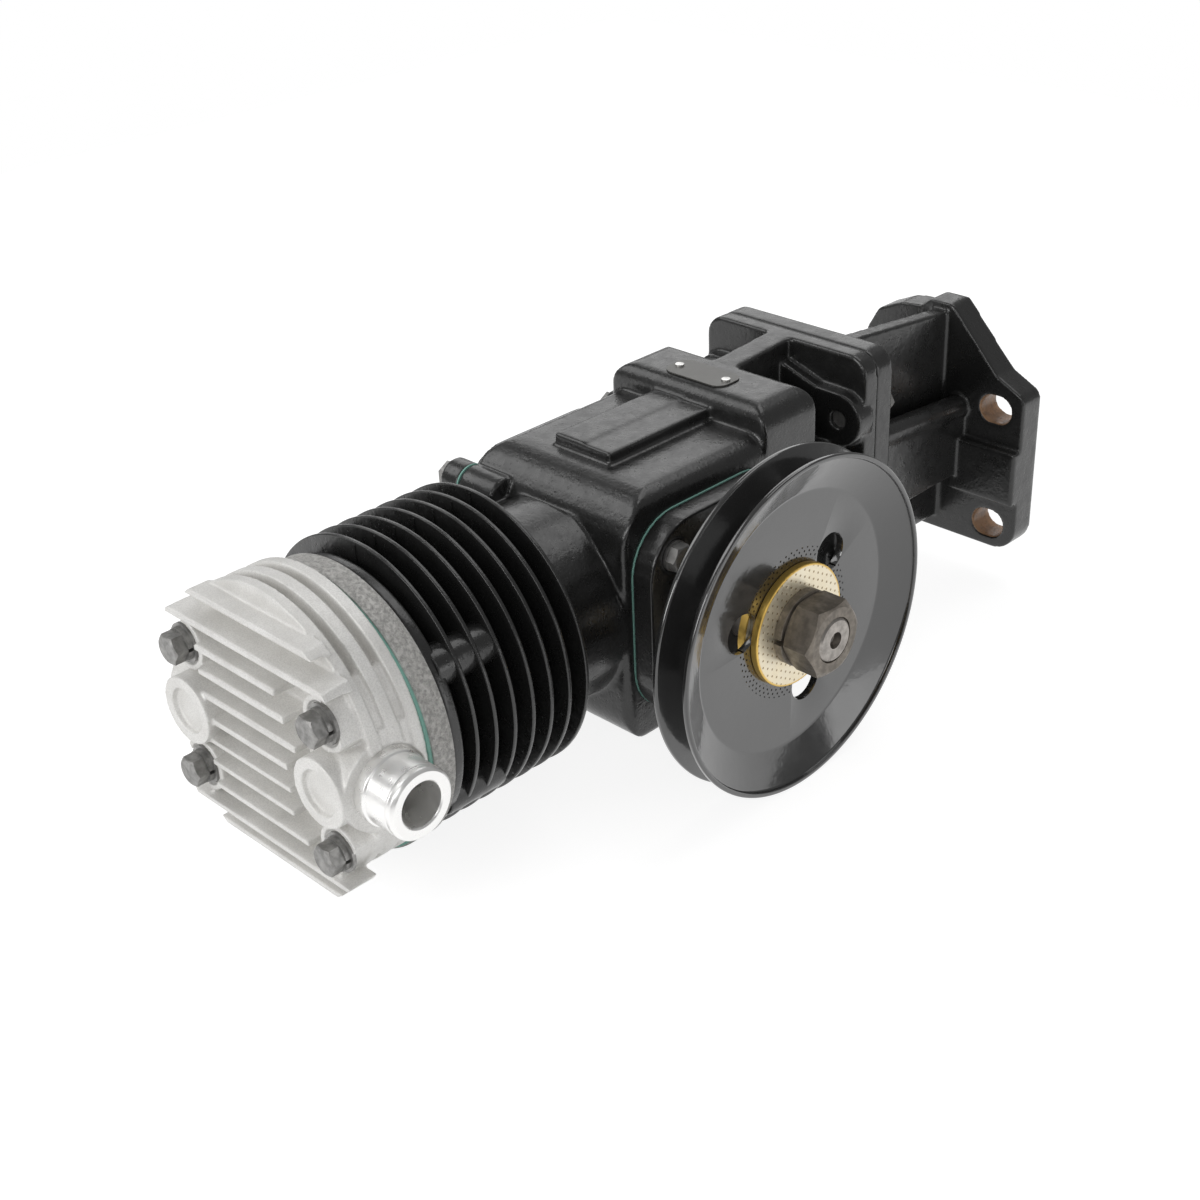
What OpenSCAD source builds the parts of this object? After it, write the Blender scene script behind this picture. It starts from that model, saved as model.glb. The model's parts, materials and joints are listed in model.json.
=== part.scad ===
// Belt-driven piston air compressor with one air-cooled cylinder, on its mounting bracket.
// All lengths are in millimetres. The sub-parts are drawn around the point where the crank's
// axis, along X, crosses the cylinder's axis, along Y. The cylinder points to -Y.
// The last step moves that frame so that the origin is the middle of the bracket's four slots.

/* [Cylinder] */
// Diameter of the cylinder's bore
bore_d = 75; // [72:0.5:78]
// Distance from the crank's axis to the cylinder's top face
deck_reach = 189; // [186:1:200]
// Thickness of the barrel's wall behind the fins
barrel_wall = 9.5; // [8:0.5:12]
// Outside diameter of the cooling fins
fin_d = 150; // [146:1:156]
// Number of cooling fins
fin_count = 7; // [5:1:7]
// Thickness of each cooling fin
fin_t = 2.2; // [2:0.1:3]
// Distance from one cooling fin to the next
fin_pitch = 11.75; // [10:0.25:12]
// Distance from the cylinder's top face to its first fin
fin_start = 12.8; // [11:0.2:14]
// Diameter of the flange at the cylinder's top
top_flange_d = 142; // [140:1:146]
// Thickness of the flange at the cylinder's top
top_flange_t = 7; // [6:0.5:9]
// Diameter of the neck between the fins and the crankcase
neck_d = 109; // [104:1:109]

/* [Crankcase] */
// Half of the crankcase's width along the crank
case_half_w = 55; // [54:1:60]
// Distance from the crank's axis to the crankcase's front
case_front = 61; // [60:1:66]
// Distance from the crank's axis up to the crankcase's roof
case_top = 68; // [66:1:70]
// Distance from the crank's axis down to the crankcase's floor
case_bottom = 70; // [66:1:74]
// Radius of the crankcase's upper front corner
case_front_r = 28; // [20:1:30]
// Radius of the crankcase's other corners
case_corner_r = 18; // [12:1:22]
// Diameter of the chamber that the crank turns in
chamber_d = 92; // [92:0.5:95]
// Width of the pad on the roof
pad_w = 40; // [30:1:44]
// Height of the pad above the roof
pad_h = 7; // [4:0.5:9]
// Distance from the crank's axis to the pad's front end
pad_front = 30; // [20:1:34]
// Distance from the crank's axis to the shoulder's front
shoulder_front = 45; // [40:1:50]
// Distance from the crank's axis to the shoulder's rear
shoulder_rear = 87; // [80:1:92]
// Height of the shoulder's top above the crank's axis
shoulder_top = 83; // [80:1:86]
// Radius of the shoulder's long edges
shoulder_r = 9; // [5:1:12]
// Distance from the crank's axis to the joint between crankcase and bracket
joint_reach = 137; // [134:1:140]
// Thickness of the crankcase's rear flange
rear_flange_t = 10.6; // [9:0.2:14]

/* [Head] */
// Diameter of the cylinder head
head_d = 148; // [146:1:150]
// Thickness of the head's gasket
head_gasket_t = 1.5; // [1:0.1:2]
// Thickness of the valve plate
valve_plate_t = 11.7; // [10:0.1:13]
// Diameter of the valve plate
valve_plate_d = 146; // [144:1:148]
// Thickness of the gasket under the valve plate
valve_gasket_t = 0.8; // [0.5:0.1:1.2]
// Height of the head's round body above its gasket
head_body_h = 28.5; // [27:0.5:32]
// Height of the straight fins above the head's round body
head_fin_h = 14.5; // [12:0.5:16]
// Number of straight fins on the head
head_fin_count = 11; // [9:2:11]
// Distance from one straight fin to the next
head_fin_pitch = 12.7; // [12:0.1:13]
// Thickness of a straight fin at its tip
head_fin_t = 3; // [2:0.25:4]
// Distance of the head bolts to each side of the cylinder's axis, along the crank
head_bolt_x = 52; // [51:0.5:53]
// Distance of the head bolts above and below the cylinder's axis
head_bolt_z = 34; // [33:0.5:36]
// Outside diameter of the air spigot
spigot_d = 34.6; // [32:0.2:36]
// Bore of the air spigot
spigot_bore_d = 22; // [18:0.5:24]
// Distance from the cylinder's axis to the air spigot's end
spigot_reach = 91; // [86:1:96]
// Length of the spigot's turned part
spigot_turned_l = 24; // [20:1:28]

/* [Crank and piston] */
// Stroke of the piston
stroke = 32; // [28:1:32]
// Distance from the gudgeon pin's axis to the piston's crown
crown_h = 30; // [29:0.5:32]
// Distance from the gudgeon pin's axis to the skirt's end
skirt_h = 22; // [20:1:26]
// Diameter of the gudgeon pin
gudgeon_d = 18; // [16:0.5:18]
// Diameter of the crankpin
crankpin_d = 28; // [26:0.5:28]
// Diameter of the main journals, the bore of the bearings
journal_d = 35; // [34:0.5:36]
// Outside diameter of the main bearings
bearing_d = 72; // [70:0.5:74]
// Width of a main bearing
bearing_w = 17; // [15:0.5:18]
// Number of balls in a main bearing
ball_count = 9; // [7:1:9]
// Thickness of the plates of the two end covers
cover_t = 12.5; // [11:0.5:14]
// Thickness of the covers' gaskets
cover_gasket_t = 0.8; // [0.5:0.1:1.2]

/* [Pulley] */
// Outside diameter of the belt pulley
pulley_d = 180; // [170:1:190]
// Distance from the cylinder's axis to the front face of the pulley's web
web_reach = 111.5; // [110:0.5:114]
// Thickness of the pulley's web
web_t = 4; // [3:0.25:5]
// Distance from the web's front face to the pulley's front rim
rim_front = 10.2; // [9:0.2:12]
// Distance from the web's front face back to the pulley's rear rim
rim_rear = 11.5; // [10:0.5:13]
// Radius of the pulley's flat web
web_r = 69.7; // [66:0.5:72]
// Diameter of the three holes in the web
web_hole_d = 21; // [16:1:24]
// Distance of those holes from the crank's axis
web_hole_r = 40; // [38:1:44]
// Diameter of the two clamping washers
clamp_washer_d = 65.2; // [58:0.4:70]
// Thickness of each clamping washer
clamp_washer_t = 4.1; // [3:0.1:5]
// Diameter of the pulley's seat on the crankshaft
seat_d = 30; // [28:0.5:32]
// Diameter of the crankshaft's threaded end
shaft_thread_d = 24; // [22:1:24]
// Width of the crank nut across its flats
crank_nut_af = 36; // [34:1:41]
// Height of the crank nut
crank_nut_h = 18; // [15:0.5:20]

/* [Bracket] */
// Distance from the crank's axis to the bracket's mounting face
bracket_reach = 258; // [240:1:270]
// Thickness of the bracket's slotted plate
plate_t = 18; // [14:1:22]
// Thickness of the bracket's front flange
bracket_flange_t = 13.4; // [10:0.2:16]
// Distance from the cylinder's axis to the middle of the slots, along the crank
slot_centre_x = 29.5; // [26:0.5:32]
// Distance from the crank's axis down to the middle of the slots
slot_centre_drop = 15; // [12:0.5:18]
// Distance between the slots along the crank
slot_pitch_x = 75; // [72:0.5:78]
// Distance between the slots in height
slot_pitch_z = 74; // [70:0.5:78]
// Width of a slot
slot_w = 17; // [13:0.5:18]
// Length of a slot, end to end
slot_l = 21.5; // [19:0.5:24]
// Thickness of the bracket's middle wall
bracket_wall_t = 10; // [8:0.5:12]

/* [Hidden] */

// Facets of the shown circles
$fn = 72;
// Length by which a cut runs past what it cuts
overrun = 1;
// Clearance of a running or screwed fit, on the radius
fit_gap = 0.05;
// Clearance between the piston and the bore, on the radius
piston_gap = 0.08;
// Clearance of a bolt in a drilled hole, on the radius
hole_gap = 0.5;
// Clearance between curved faces that do not run on each other
seat_gap = 0.3;
// Steps of a rounded corner in an outline
corner_steps = 8;

// Cylinder
bore_r = bore_d / 2;
barrel_r = bore_r + barrel_wall;
top_flange_edge = 2.5;
fin_edge = 0.6;
// The fins and the head's arcs are cast off the bore's axis, to the left and up
rim_shift_x = 3;
rim_shift_z = 1.5;
fin_seam_w = 1.2;
fin_seam_h = 0.5;
last_fin_y = -deck_reach + fin_start + (fin_count - 1) * fin_pitch;
bolt_boss_r = 10.5;
bolt_boss_l = 38;
bolt_hole_l = 35;
bolt_end_gap = 2;

// Crankcase
chamber_r = chamber_d / 2;
case_edge_r = 12;
case_side_r = 5;
shoulder_end_r = 14;
pad_right = 17;
pad_step = 0.6;
rear_flange_half_w = 57;
rear_flange_half_h = 78;
rear_flange_rise = 8;
rear_flange_r = 12;
rear_flange_front = joint_reach - rear_flange_t;
duct_half_w = 40;
duct_top = 36;
duct_bottom = 58;
passage_half_w = 22;
passage_top = 20;
passage_bottom = 46;
middle_web_left = 12;
middle_web_right = 4;
boss_x = 44;
boss_z = 50;
boss_r = 15.5;
boss_h = 7.5;
boss_arm_top = 75;
boss_arm_inner = 28;
boss_arm_low = 66;

// Head
valve_gasket_y = -deck_reach - valve_gasket_t;
valve_plate_y = valve_gasket_y - valve_plate_t;
head_y = valve_plate_y - head_gasket_t;
head_body_y = head_y - head_body_h;
head_r = head_d / 2;
head_gasket_r = 72;
head_core_r = 66;
head_ring_t = 6;
head_groove_t = 5;
head_middle_ring_t = 6.5;
head_wall_inset = 0.8;
head_wall_half_h = 27;
head_boss_reach = 69.5;
head_end_fin_h = 10.5;
head_chamber_r = 50;
head_roof_t = 8;
head_divider_t = 6;
head_fin_root_t = 4.6;
head_fin_circle_r = 78;
head_end_fin_half_w = 48;
head_second_fin_half_w = 62.5;
head_fin_start_x = -39;
// Right ends of the middle fins as shares of the distance to the bolts
head_fin_end_shares = [0.42, 0.5, 0.62, 0.46, 0.46, 0.46, 0.62];
head_boss_r = 14;
head_boss_h = 11.5;
head_seat_r = 11;
head_seat_depth = 1.5;
port_boss_x = 50.2;
port_boss_r = 17.5;
port_boss_h = 17.5;
port_recess_r = 11.4;
port_recess_depth = 3;
spigot_drop = 21;
spigot_y = head_y - spigot_drop;
spigot_r = spigot_d / 2;
spigot_chamfer = 1.5;
hose_room = 2.2;
spigot_collar_r = 23.5;
spigot_collar_x = spigot_reach - spigot_turned_l;
spigot_relief_r = spigot_r + hose_room;
port_start_x = 45;
inlet_bore_r = 10;
inlet_boss_r = 16;
inlet_reach = head_r + rim_shift_x;
reed_t = 0.4;
reed_half_l = 17;
reed_start_x = 8;
reed_w = 16;
reed_stop_t = 1.6;
valve_port_x = 16;
valve_port_z = 9;
valve_port_r = 4;

// Head bolts
head_bolt_r = 5;
head_bolt_af = 14;
head_bolt_head_h = 6.6;
head_flat_washer_t = 1.8;
head_flat_washer_r = 10;
head_spring_washer_t = 2.6;
head_spring_washer_r = 8.4;
spring_gap = 1.8;
head_seat_y = head_body_y - head_boss_h + head_seat_depth;
head_bolt_under_y = head_seat_y - head_flat_washer_t - head_spring_washer_t;
head_bolt_l = -deck_reach + bolt_hole_l - bolt_end_gap - head_bolt_under_y;

// End covers
cover_half = 56;
cover_corner_r = 30;
cover_bolt_offset = 38;
cover_bolt_r = 4;
cover_bolt_af = 13;
cover_bolt_head_h = 5.5;
cover_hole_l = 18;
cover_washer_t = 1.6;
cover_washer_r = 8;
cover_seat_r = 9.5;
cover_seat_depth = 1.2;
cover_face_x = case_half_w + cover_gasket_t;
cover_outer_x = cover_face_x + cover_t;
cover_seat_x = cover_outer_x - cover_seat_depth;
cover_bolt_l = cover_seat_x + cover_washer_t - (case_half_w - cover_hole_l + bolt_end_gap);
bearing_inner_x = 41;
bearing_outer_x = bearing_inner_x + bearing_w;
bearing_mid_x = (bearing_inner_x + bearing_outer_x) / 2;
bearing_r = bearing_d / 2;
nose_r = 33;
nose_l = 16;
seal_r = 26;
seal_w = 10;
journal_r = journal_d / 2;
shaft_hole_gap = 2;
shaft_hole_r = journal_r + shaft_hole_gap;
rear_bolt_y = 60;
rear_bolt_z = 47;
cover_lug_r = 10.7;
cover_lug_l = 26;

// Bearings
ball_pitch_r = (journal_r + bearing_r) / 2;
ball_r = 5.5;
ring_gap_half = 3.5;
ball_gap = 0.1;

// Crankshaft
throw = stroke / 2;
crankpin_r = crankpin_d / 2;
rod_w = 23;
web_gap = 1;
web_inner_x = rod_w / 2 + web_gap;
crank_web_t = 18.5;
web_outer_x = web_inner_x + crank_web_t;
web_pin_r = 24;
counterweight_r = 44;
counterweight_half_w = 37;
journal_shoulder_r = 22;
rear_end_gap = 4;
rear_recess_r = 29;
shaft_shoulder_x = web_reach - web_t - clamp_washer_t;
seat_r = seat_d / 2;
shaft_thread_r = shaft_thread_d / 2;
spring_washer_x = web_reach + clamp_washer_t;
crank_spring_washer_t = 4.6;
crank_spring_washer_r = 20;
crank_spring_gap = 3;
nut_x = spring_washer_x + crank_spring_washer_t;
nut_outer_x = nut_x + crank_nut_h;
nut_chamfer_h = 2.2;
nut_face_inset = 1;
nut_face_r = crank_nut_af / 2 - nut_face_inset;
seat_overhang = 1;
seat_end_x = web_reach + seat_overhang;
centre_hole_r = 4.4;
centre_hole_depth = 9;
thread_chamfer = 1.5;
key_w = 6;
key_h = 3;
key_depth = 3.5;
key_end_gap = 0.4;
plug_r = 4;
plug_l = 6;
journal_overhang = 1;
rear_journal_end_x = -bearing_outer_x - journal_overhang;

// Rod and piston
crown_gap = 0.7;
rod_length = deck_reach - throw - crown_h - crown_gap;
crankpin_y = -throw;
gudgeon_y = crankpin_y - rod_length;
shell_t = 1.5;
shell_parting = 0.2;
rod_big_r = 21;
rod_ear_half_w = 24.5;
rod_ear_h = 12;
rod_cap_h = 9;
rod_bolt_z = 20;
rod_bolt_r = 3;
rod_bolt_af = 9;
rod_bolt_head_h = 4;
rod_shank_t = 14;
rod_shank_big_half = 10;
rod_shank_small_half = 7.5;
rod_recess_t = 4;
rod_recess_share = 0.55;
rod_shank_sink = 3;
rod_small_r = 12;
gudgeon_r = gudgeon_d / 2;
gudgeon_bore_r = 5;
bush_t = 1.4;
piston_r = bore_r - piston_gap;
piston_bore_r = 31.5;
crown_t = 7;
boss_inner_x = 13.5;
piston_boss_r = 13;
ring_t = 2.5;
ring_pitch = 6;
ring_depth = 3.4;
ring_width = 3.2;
ring_side_gap = 0.1;
oil_ring_t = 4;
first_ring_y = 6;

// Pulley
pulley_r = pulley_d / 2;
rim_t = 2.6;
rim_lip = 2;
groove_bottom_r = 72.5;
groove_half_bottom = 1.6;
web_hole_angles = [45, 165, 285];

// Nameplate
nameplate_x = -3;
nameplate_y = 62;
nameplate_half_l = 21;
nameplate_half_w = 10;
nameplate_corner_r = 7;
nameplate_t = 0.8;
rivet_offset = 16.5;
rivet_r = 2.4;
rivet_pin_r = 1.2;
rivet_h = 0.9;
rivet_pin_l = 3;

// Bracket
slot_centre = [slot_centre_x, bracket_reach, -slot_centre_drop];
plate_front = bracket_reach - plate_t;
bracket_flange_rear = joint_reach + bracket_flange_t;
bracket_wall_x = 20;
bracket_wall_flange_top = 84;
bracket_wall_plate_top = 74;
bracket_wall_bottom = -58;
side_wall_x = 37;
side_wall_t = 9;
side_wall_top = 26;
side_wall_drop = 8;
side_wall_bottom = -24;
side_bead_r = 7;
plate_right = 86;
plate_left = -28;
plate_bottom = -67;
plate_corner_r = 15;
plate_peak = 79;
plate_peak_side = 3;
plate_shoulder_x = 66;
plate_shoulder_z = 43;
plate_right_top = 33;
plate_dip = [12, 74];
plate_ear = [-3, 72.5];
plate_ear_side = [-20, 65];
plate_left_top = 51;
plate_small_r = 4;
plate_large_r = 8;
band_top = 0;
band_bottom = -34;
band_left = 40;
band_h = 6;
bracket_bolt_r = 5;
bracket_bolt_af = 16;
bracket_bolt_head_h = 6.4;
bracket_bolt_recess = 3;
bracket_washer_t = 2;
bracket_washer_r = 10;

// Places of the four head bolts and of the four bolts of each cover
head_bolt_places = [for (x = [-head_bolt_x, head_bolt_x], z = [-head_bolt_z, head_bolt_z]) [x, z]];
cover_bolt_places = [
    for (y = [-cover_bolt_offset, cover_bolt_offset], z = [-cover_bolt_offset, cover_bolt_offset]) [y, z]
];
rear_bolt_places = [for (y = [-rear_bolt_y, rear_bolt_y], z = [-rear_bolt_z, rear_bolt_z]) [y, z]];
rivet_places = [nameplate_x - rivet_offset, nameplate_x + rivet_offset];
joint_bolt_places = [for (x = [-boss_x, boss_x], z = [-boss_z, boss_z]) [x, z]];

function unit(v) = v / norm(v);

// Arc that rounds the corner at a point between two others
function corner_arc(before, at, after, r) =
    r == 0 ? [at] :
    let (
        to_before = unit(before - at),
        to_after = unit(after - at),
        half_angle = acos(to_before * to_after) / 2,
        centre = at + unit(to_before + to_after) * r / sin(half_angle),
        start = at + to_before * r / tan(half_angle) - centre,
        end = at + to_after * r / tan(half_angle) - centre,
        from = atan2(start.y, start.x),
        turn = atan2(start.x * end.y - start.y * end.x, start * end)
    )
    [
        for (step = [0:corner_steps])
            let (angle = from + turn * step / corner_steps)
            centre + r * [cos(angle), sin(angle)]
    ];

// Outline with a radius at each of its corners
function rounded(points, radii) = [
    for (i = [0:len(points) - 1])
        each corner_arc(
            points[(i + len(points) - 1) % len(points)],
            points[i],
            points[(i + 1) % len(points)],
            radii[i]
        )
];

// Corners of a rectangle, in order
function box_corners(left, right, low, high) = [[left, low], [right, low], [right, high], [left, high]];

// Outline drawn in Y and Z, made solid along X
module slab_x(from, to) {
    translate([from, 0, 0]) rotate([90, 0, 90]) linear_extrude(to - from) children();
}

// Outline drawn in X and Z, made solid along Y
module slab_y(from, to) {
    translate([0, to, 0]) rotate([90, 0, 0]) linear_extrude(to - from) children();
}

// Round bar along X
module bar_x(r, from, to) {
    translate([from, 0, 0]) rotate([0, 90, 0]) cylinder(r = r, h = to - from);
}

// Round bar along Y
module bar_y(r, from, to) {
    translate([0, from, 0]) rotate([-90, 0, 0]) cylinder(r = r, h = to - from);
}

// Outline of radius and X, turned about the crank's axis
module turned_x(outline) {
    rotate([0, 90, 0]) rotate_extrude() polygon(outline);
}

// Outline of radius and Y, turned about the cylinder's axis
module turned_y(outline) {
    rotate([-90, 0, 0]) rotate_extrude() polygon(outline);
}

// Children at each place of X and Z
module at_xz(places) {
    for (place = places) translate([place.x, 0, place.y]) children();
}

// Children at each place of Y and Z
module at_yz(places) {
    for (place = places) translate([0, place.x, place.y]) children();
}

// Ring around Z
module ring(outer_r, inner_r, t) {
    difference() {
        cylinder(r = outer_r, h = t);
        translate([0, 0, -overrun]) cylinder(r = inner_r, h = t + 2 * overrun);
    }
}

// Spring washer around Z with its gap on the +X side
module split_ring(outer_r, inner_r, t, gap) {
    difference() {
        ring(outer_r, inner_r, t);
        translate([0, -gap / 2, -overrun]) cube([outer_r + overrun, gap, t + 2 * overrun]);
    }
}

// Hexagon bolt along Z, its head standing on the XY plane and its shank below
module hex_bolt(shank_r, shank_l, af, head_h) {
    cylinder(r = af / sqrt(3), h = head_h, $fn = 6);
    translate([0, 0, -shank_l]) cylinder(r = shank_r, h = shank_l + head_h / 2);
}

// Turns what stands along Z so that it points to -Y, +Y or +X
module facing_front() {
    rotate([90, 0, 0]) children();
}

module facing_back() {
    rotate([-90, 0, 0]) children();
}

module facing_right() {
    rotate([0, 90, 0]) children();
}

// Barrel with its top flange, fins and neck
module barrel() {
    bar_y(barrel_r, -deck_reach + top_flange_t / 2, -case_front + overrun);
    turned_y([
        [0, -deck_reach],
        [top_flange_d / 2 - top_flange_edge, -deck_reach],
        [top_flange_d / 2, -deck_reach + top_flange_edge],
        [top_flange_d / 2, -deck_reach + top_flange_t - top_flange_edge],
        [top_flange_d / 2 - top_flange_edge, -deck_reach + top_flange_t],
        [0, -deck_reach + top_flange_t]
    ]);
    for (i = [0:fin_count - 1])
        translate([-rim_shift_x, -deck_reach + fin_start + i * fin_pitch, rim_shift_z]) cooling_fin();
    bar_y(neck_d / 2, last_fin_y + fin_t / 2, -case_front + overrun);
    at_xz(head_bolt_places) bar_y(bolt_boss_r, -deck_reach + top_flange_t / 2, -deck_reach + bolt_boss_l);
}

// One cooling fin with a bevelled rim and the mould's seam on its front face
module cooling_fin() {
    turned_y([
        [0, 0],
        [fin_d / 2 - fin_edge, 0],
        [fin_d / 2, fin_edge],
        [fin_d / 2, fin_t - fin_edge],
        [fin_d / 2 - fin_edge, fin_t],
        [0, fin_t]
    ]);
    translate([-fin_seam_w / 2, -fin_seam_h, barrel_r - overrun])
        cube([fin_seam_w, fin_t / 2 + fin_seam_h, fin_d / 2 - fin_edge - barrel_r + overrun]);
}

// Main block of the crankcase with the pad on its roof and the shoulder behind it
module case_block() {
    intersection() {
        slab_x(-case_half_w, case_half_w)
            polygon(rounded(
                box_corners(-case_front, shoulder_rear - overrun, -case_bottom, case_top),
                [case_corner_r, case_corner_r, 0, case_front_r]
            ));
        slab_y(-case_front, shoulder_rear)
            polygon(rounded(
                box_corners(-case_half_w, case_half_w, -case_bottom, case_top),
                [case_side_r, case_side_r, case_edge_r, case_edge_r]
            ));
        translate([0, 0, -case_bottom]) linear_extrude(case_bottom + case_top)
            polygon(rounded(
                box_corners(-case_half_w, case_half_w, -case_front, shoulder_rear),
                [case_side_r, case_side_r, 0, 0]
            ));
    }
    pad_l = pad_front + shoulder_front + overrun;
    translate([pad_right - pad_w, -pad_front, 0]) cube([pad_w / 2 + overrun, pad_l, case_top + pad_h]);
    translate([pad_right - pad_w / 2, -pad_front, 0]) cube([pad_w / 2, pad_l, case_top + pad_h - pad_step]);
    intersection() {
        slab_x(-case_half_w, case_half_w)
            polygon(rounded(
                box_corners(shoulder_front, shoulder_rear, -case_bottom + case_corner_r, shoulder_top),
                [0, 0, shoulder_r, shoulder_r]
            ));
        slab_y(shoulder_front, shoulder_rear)
            polygon(rounded(
                box_corners(-case_half_w, case_half_w, -case_bottom, shoulder_top),
                [0, 0, shoulder_end_r, shoulder_end_r]
            ));
    }
    at_yz(rear_bolt_places) bar_x(cover_lug_r, -case_half_w, -case_half_w + cover_lug_l);
}

// Duct, middle web and flange that carry the crankcase on its bracket
module case_rear() {
    slab_y(shoulder_rear - overrun, joint_reach - rear_flange_t / 2)
        polygon(box_corners(-duct_half_w, duct_half_w, -duct_bottom, duct_top));
    slab_x(-middle_web_left, middle_web_right)
        polygon([
            [shoulder_rear - shoulder_r, 0],
            [rear_flange_front + overrun, 0],
            [rear_flange_front + overrun, rear_flange_rise + rear_flange_half_h],
            [shoulder_rear - shoulder_r, shoulder_top]
        ]);
    slab_y(rear_flange_front, joint_reach) flange_outline();
    at_xz(joint_bolt_places) bar_y(boss_r, rear_flange_front - boss_h, joint_reach - rear_flange_t / 2);
    for (side = [0, 1]) mirror([side, 0, 0])
        slab_y(rear_flange_front - boss_h, joint_reach - rear_flange_t / 2)
            polygon([
                [0, 0],
                [boss_x, 0],
                [boss_x, boss_z + boss_r],
                [boss_arm_inner, boss_arm_low],
                [0, boss_arm_top]
            ]);
}

// Outline of the joint between crankcase and bracket
module flange_outline() {
    translate([0, rear_flange_rise])
        polygon(rounded(
            box_corners(-rear_flange_half_w, rear_flange_half_w, -rear_flange_half_h, rear_flange_half_h),
            [for (i = [0:3]) rear_flange_r]
        ));
}

// Cylinder and crankcase, cast in one piece
module crankcase() {
    color("#1b1b1d") difference() {
        union() {
            barrel();
            case_block();
            case_rear();
        }
        bar_y(bore_r, -deck_reach - overrun, 0);
        bar_x(chamber_r, -case_half_w - overrun, case_half_w + overrun);
        slab_y(0, joint_reach + overrun)
            polygon(box_corners(-passage_half_w, passage_half_w, -passage_bottom, passage_top));
        at_xz(head_bolt_places)
            bar_y(head_bolt_r + fit_gap, -deck_reach - overrun, -deck_reach + bolt_hole_l);
        at_yz(cover_bolt_places)
            bar_x(cover_bolt_r + fit_gap, case_half_w - cover_hole_l, case_half_w + overrun);
        at_yz(rear_bolt_places)
            bar_x(cover_bolt_r + fit_gap, -case_half_w - overrun, -case_half_w + cover_hole_l);
        at_xz(joint_bolt_places)
            bar_y(bracket_bolt_r + fit_gap, rear_flange_front - boss_h - overrun, joint_reach + overrun);
        for (x = rivet_places) translate([x, nameplate_y, shoulder_top - rivet_pin_l])
            cylinder(r = rivet_pin_r + fit_gap, h = rivet_pin_l + overrun);
    }
}

// Right end of the middle fin of this number
function fin_end_x(i) = head_bolt_x * head_fin_end_shares[i % len(head_fin_end_shares)];

// Straight fin that tapers to its tip
module head_fin(z, left, right, h) {
    slab_x(left, right)
        polygon([
            [head_body_y + overrun, z - head_fin_root_t / 2],
            [head_body_y - h, z - head_fin_t / 2],
            [head_body_y - h, z + head_fin_t / 2],
            [head_body_y + overrun, z + head_fin_root_t / 2]
        ]);
}

// All straight fins, the outer two pairs full length and the rest short of the bolts
module head_fins() {
    middle = (head_fin_count - 1) / 2;
    intersection() {
        bar_y(head_fin_circle_r, head_body_y - 2 * head_fin_h, head_body_y + 2 * overrun);
        for (i = [0:head_fin_count - 1]) {
            z = (middle - i) * head_fin_pitch;
            if (abs(i - middle) == middle) {
                head_fin(z, -head_end_fin_half_w, head_end_fin_half_w, head_end_fin_h);
            } else if (abs(i - middle) == middle - 1) {
                head_fin(z, -head_second_fin_half_w, head_second_fin_half_w, head_fin_h);
            } else {
                head_fin(z, head_fin_start_x, fin_end_x(i - 2), head_fin_h);
            }
        }
    }
}

// Round body of the head: flange, groove, middle arc, groove and top arc, smooth beside the spigot
module head_body() {
    ring_2 = head_y - head_ring_t - head_groove_t;
    ring_3 = ring_2 - head_middle_ring_t - head_groove_t;
    translate([-rim_shift_x, 0, rim_shift_z]) turned_y([
        [0, head_y],
        [head_r, head_y],
        [head_r, head_y - head_ring_t],
        [head_core_r, head_y - head_ring_t],
        [head_core_r, ring_2],
        [head_r, ring_2],
        [head_r, ring_2 - head_middle_ring_t],
        [head_core_r, ring_2 - head_middle_ring_t],
        [head_core_r, ring_3],
        [head_r, ring_3],
        [head_r, head_body_y],
        [0, head_body_y]
    ]);
    intersection() {
        translate([-rim_shift_x, 0, rim_shift_z]) bar_y(head_r - head_wall_inset, head_body_y, head_y);
        slab_y(head_body_y, head_y) polygon(box_corners(0, head_r, -head_wall_half_h, head_wall_half_h));
    }
}

// Solid of the head with its fins, bolt bosses and blind bosses, faced off round the spigot so that
// a hose slides on as far as the collar
module head_casting() {
    difference() {
        union() {
            head_body();
            head_fins();
            intersection() {
                at_xz(head_bolt_places) bar_y(head_boss_r, head_body_y - head_boss_h, head_y);
                bar_y(head_boss_reach, head_body_y - head_boss_h, head_y);
            }
            at_xz([[-port_boss_x, 0], [port_boss_x, 0]])
                bar_y(port_boss_r, head_body_y - port_boss_h, head_body_y + overrun);
            translate([0, spigot_y, 0]) {
                bar_x(inlet_boss_r, -inlet_reach, -port_boss_x);
                bar_x(spigot_collar_r, port_boss_x, spigot_collar_x);
            }
        }
        translate([0, spigot_y, 0]) bar_x(spigot_relief_r, spigot_collar_x, spigot_reach);
    }
}

// Cylinder head: the casting, its air spigot, and the chambers, bores and recesses cut into both
module cylinder_head() {
    color("#b9b7b1") difference() {
        union() {
            head_casting();
            translate([0, spigot_y, 0]) turned_x([
                [0, port_boss_x],
                [spigot_r, port_boss_x],
                [spigot_r, spigot_reach - spigot_chamfer],
                [spigot_r - spigot_chamfer, spigot_reach],
                [0, spigot_reach]
            ]);
        }
        bar_y(head_r + spigot_reach, head_y, head_y + spigot_collar_r);
        head_chambers();
        translate([0, spigot_y, 0]) bar_x(spigot_bore_d / 2, port_start_x, spigot_reach + overrun);
        translate([0, spigot_y, 0]) bar_x(inlet_bore_r, -inlet_reach - overrun, -port_start_x);
        at_xz(head_bolt_places) {
            bar_y(head_seat_r, head_body_y - head_fin_h - overrun, head_seat_y);
            bar_y(head_bolt_r + hole_gap, head_seat_y - overrun, head_y + overrun);
        }
        at_xz([[-port_boss_x, 0], [port_boss_x, 0]])
            translate([0, head_body_y - port_boss_h, 0]) bar_y(port_recess_r, -overrun, port_recess_depth);
    }
}

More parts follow.
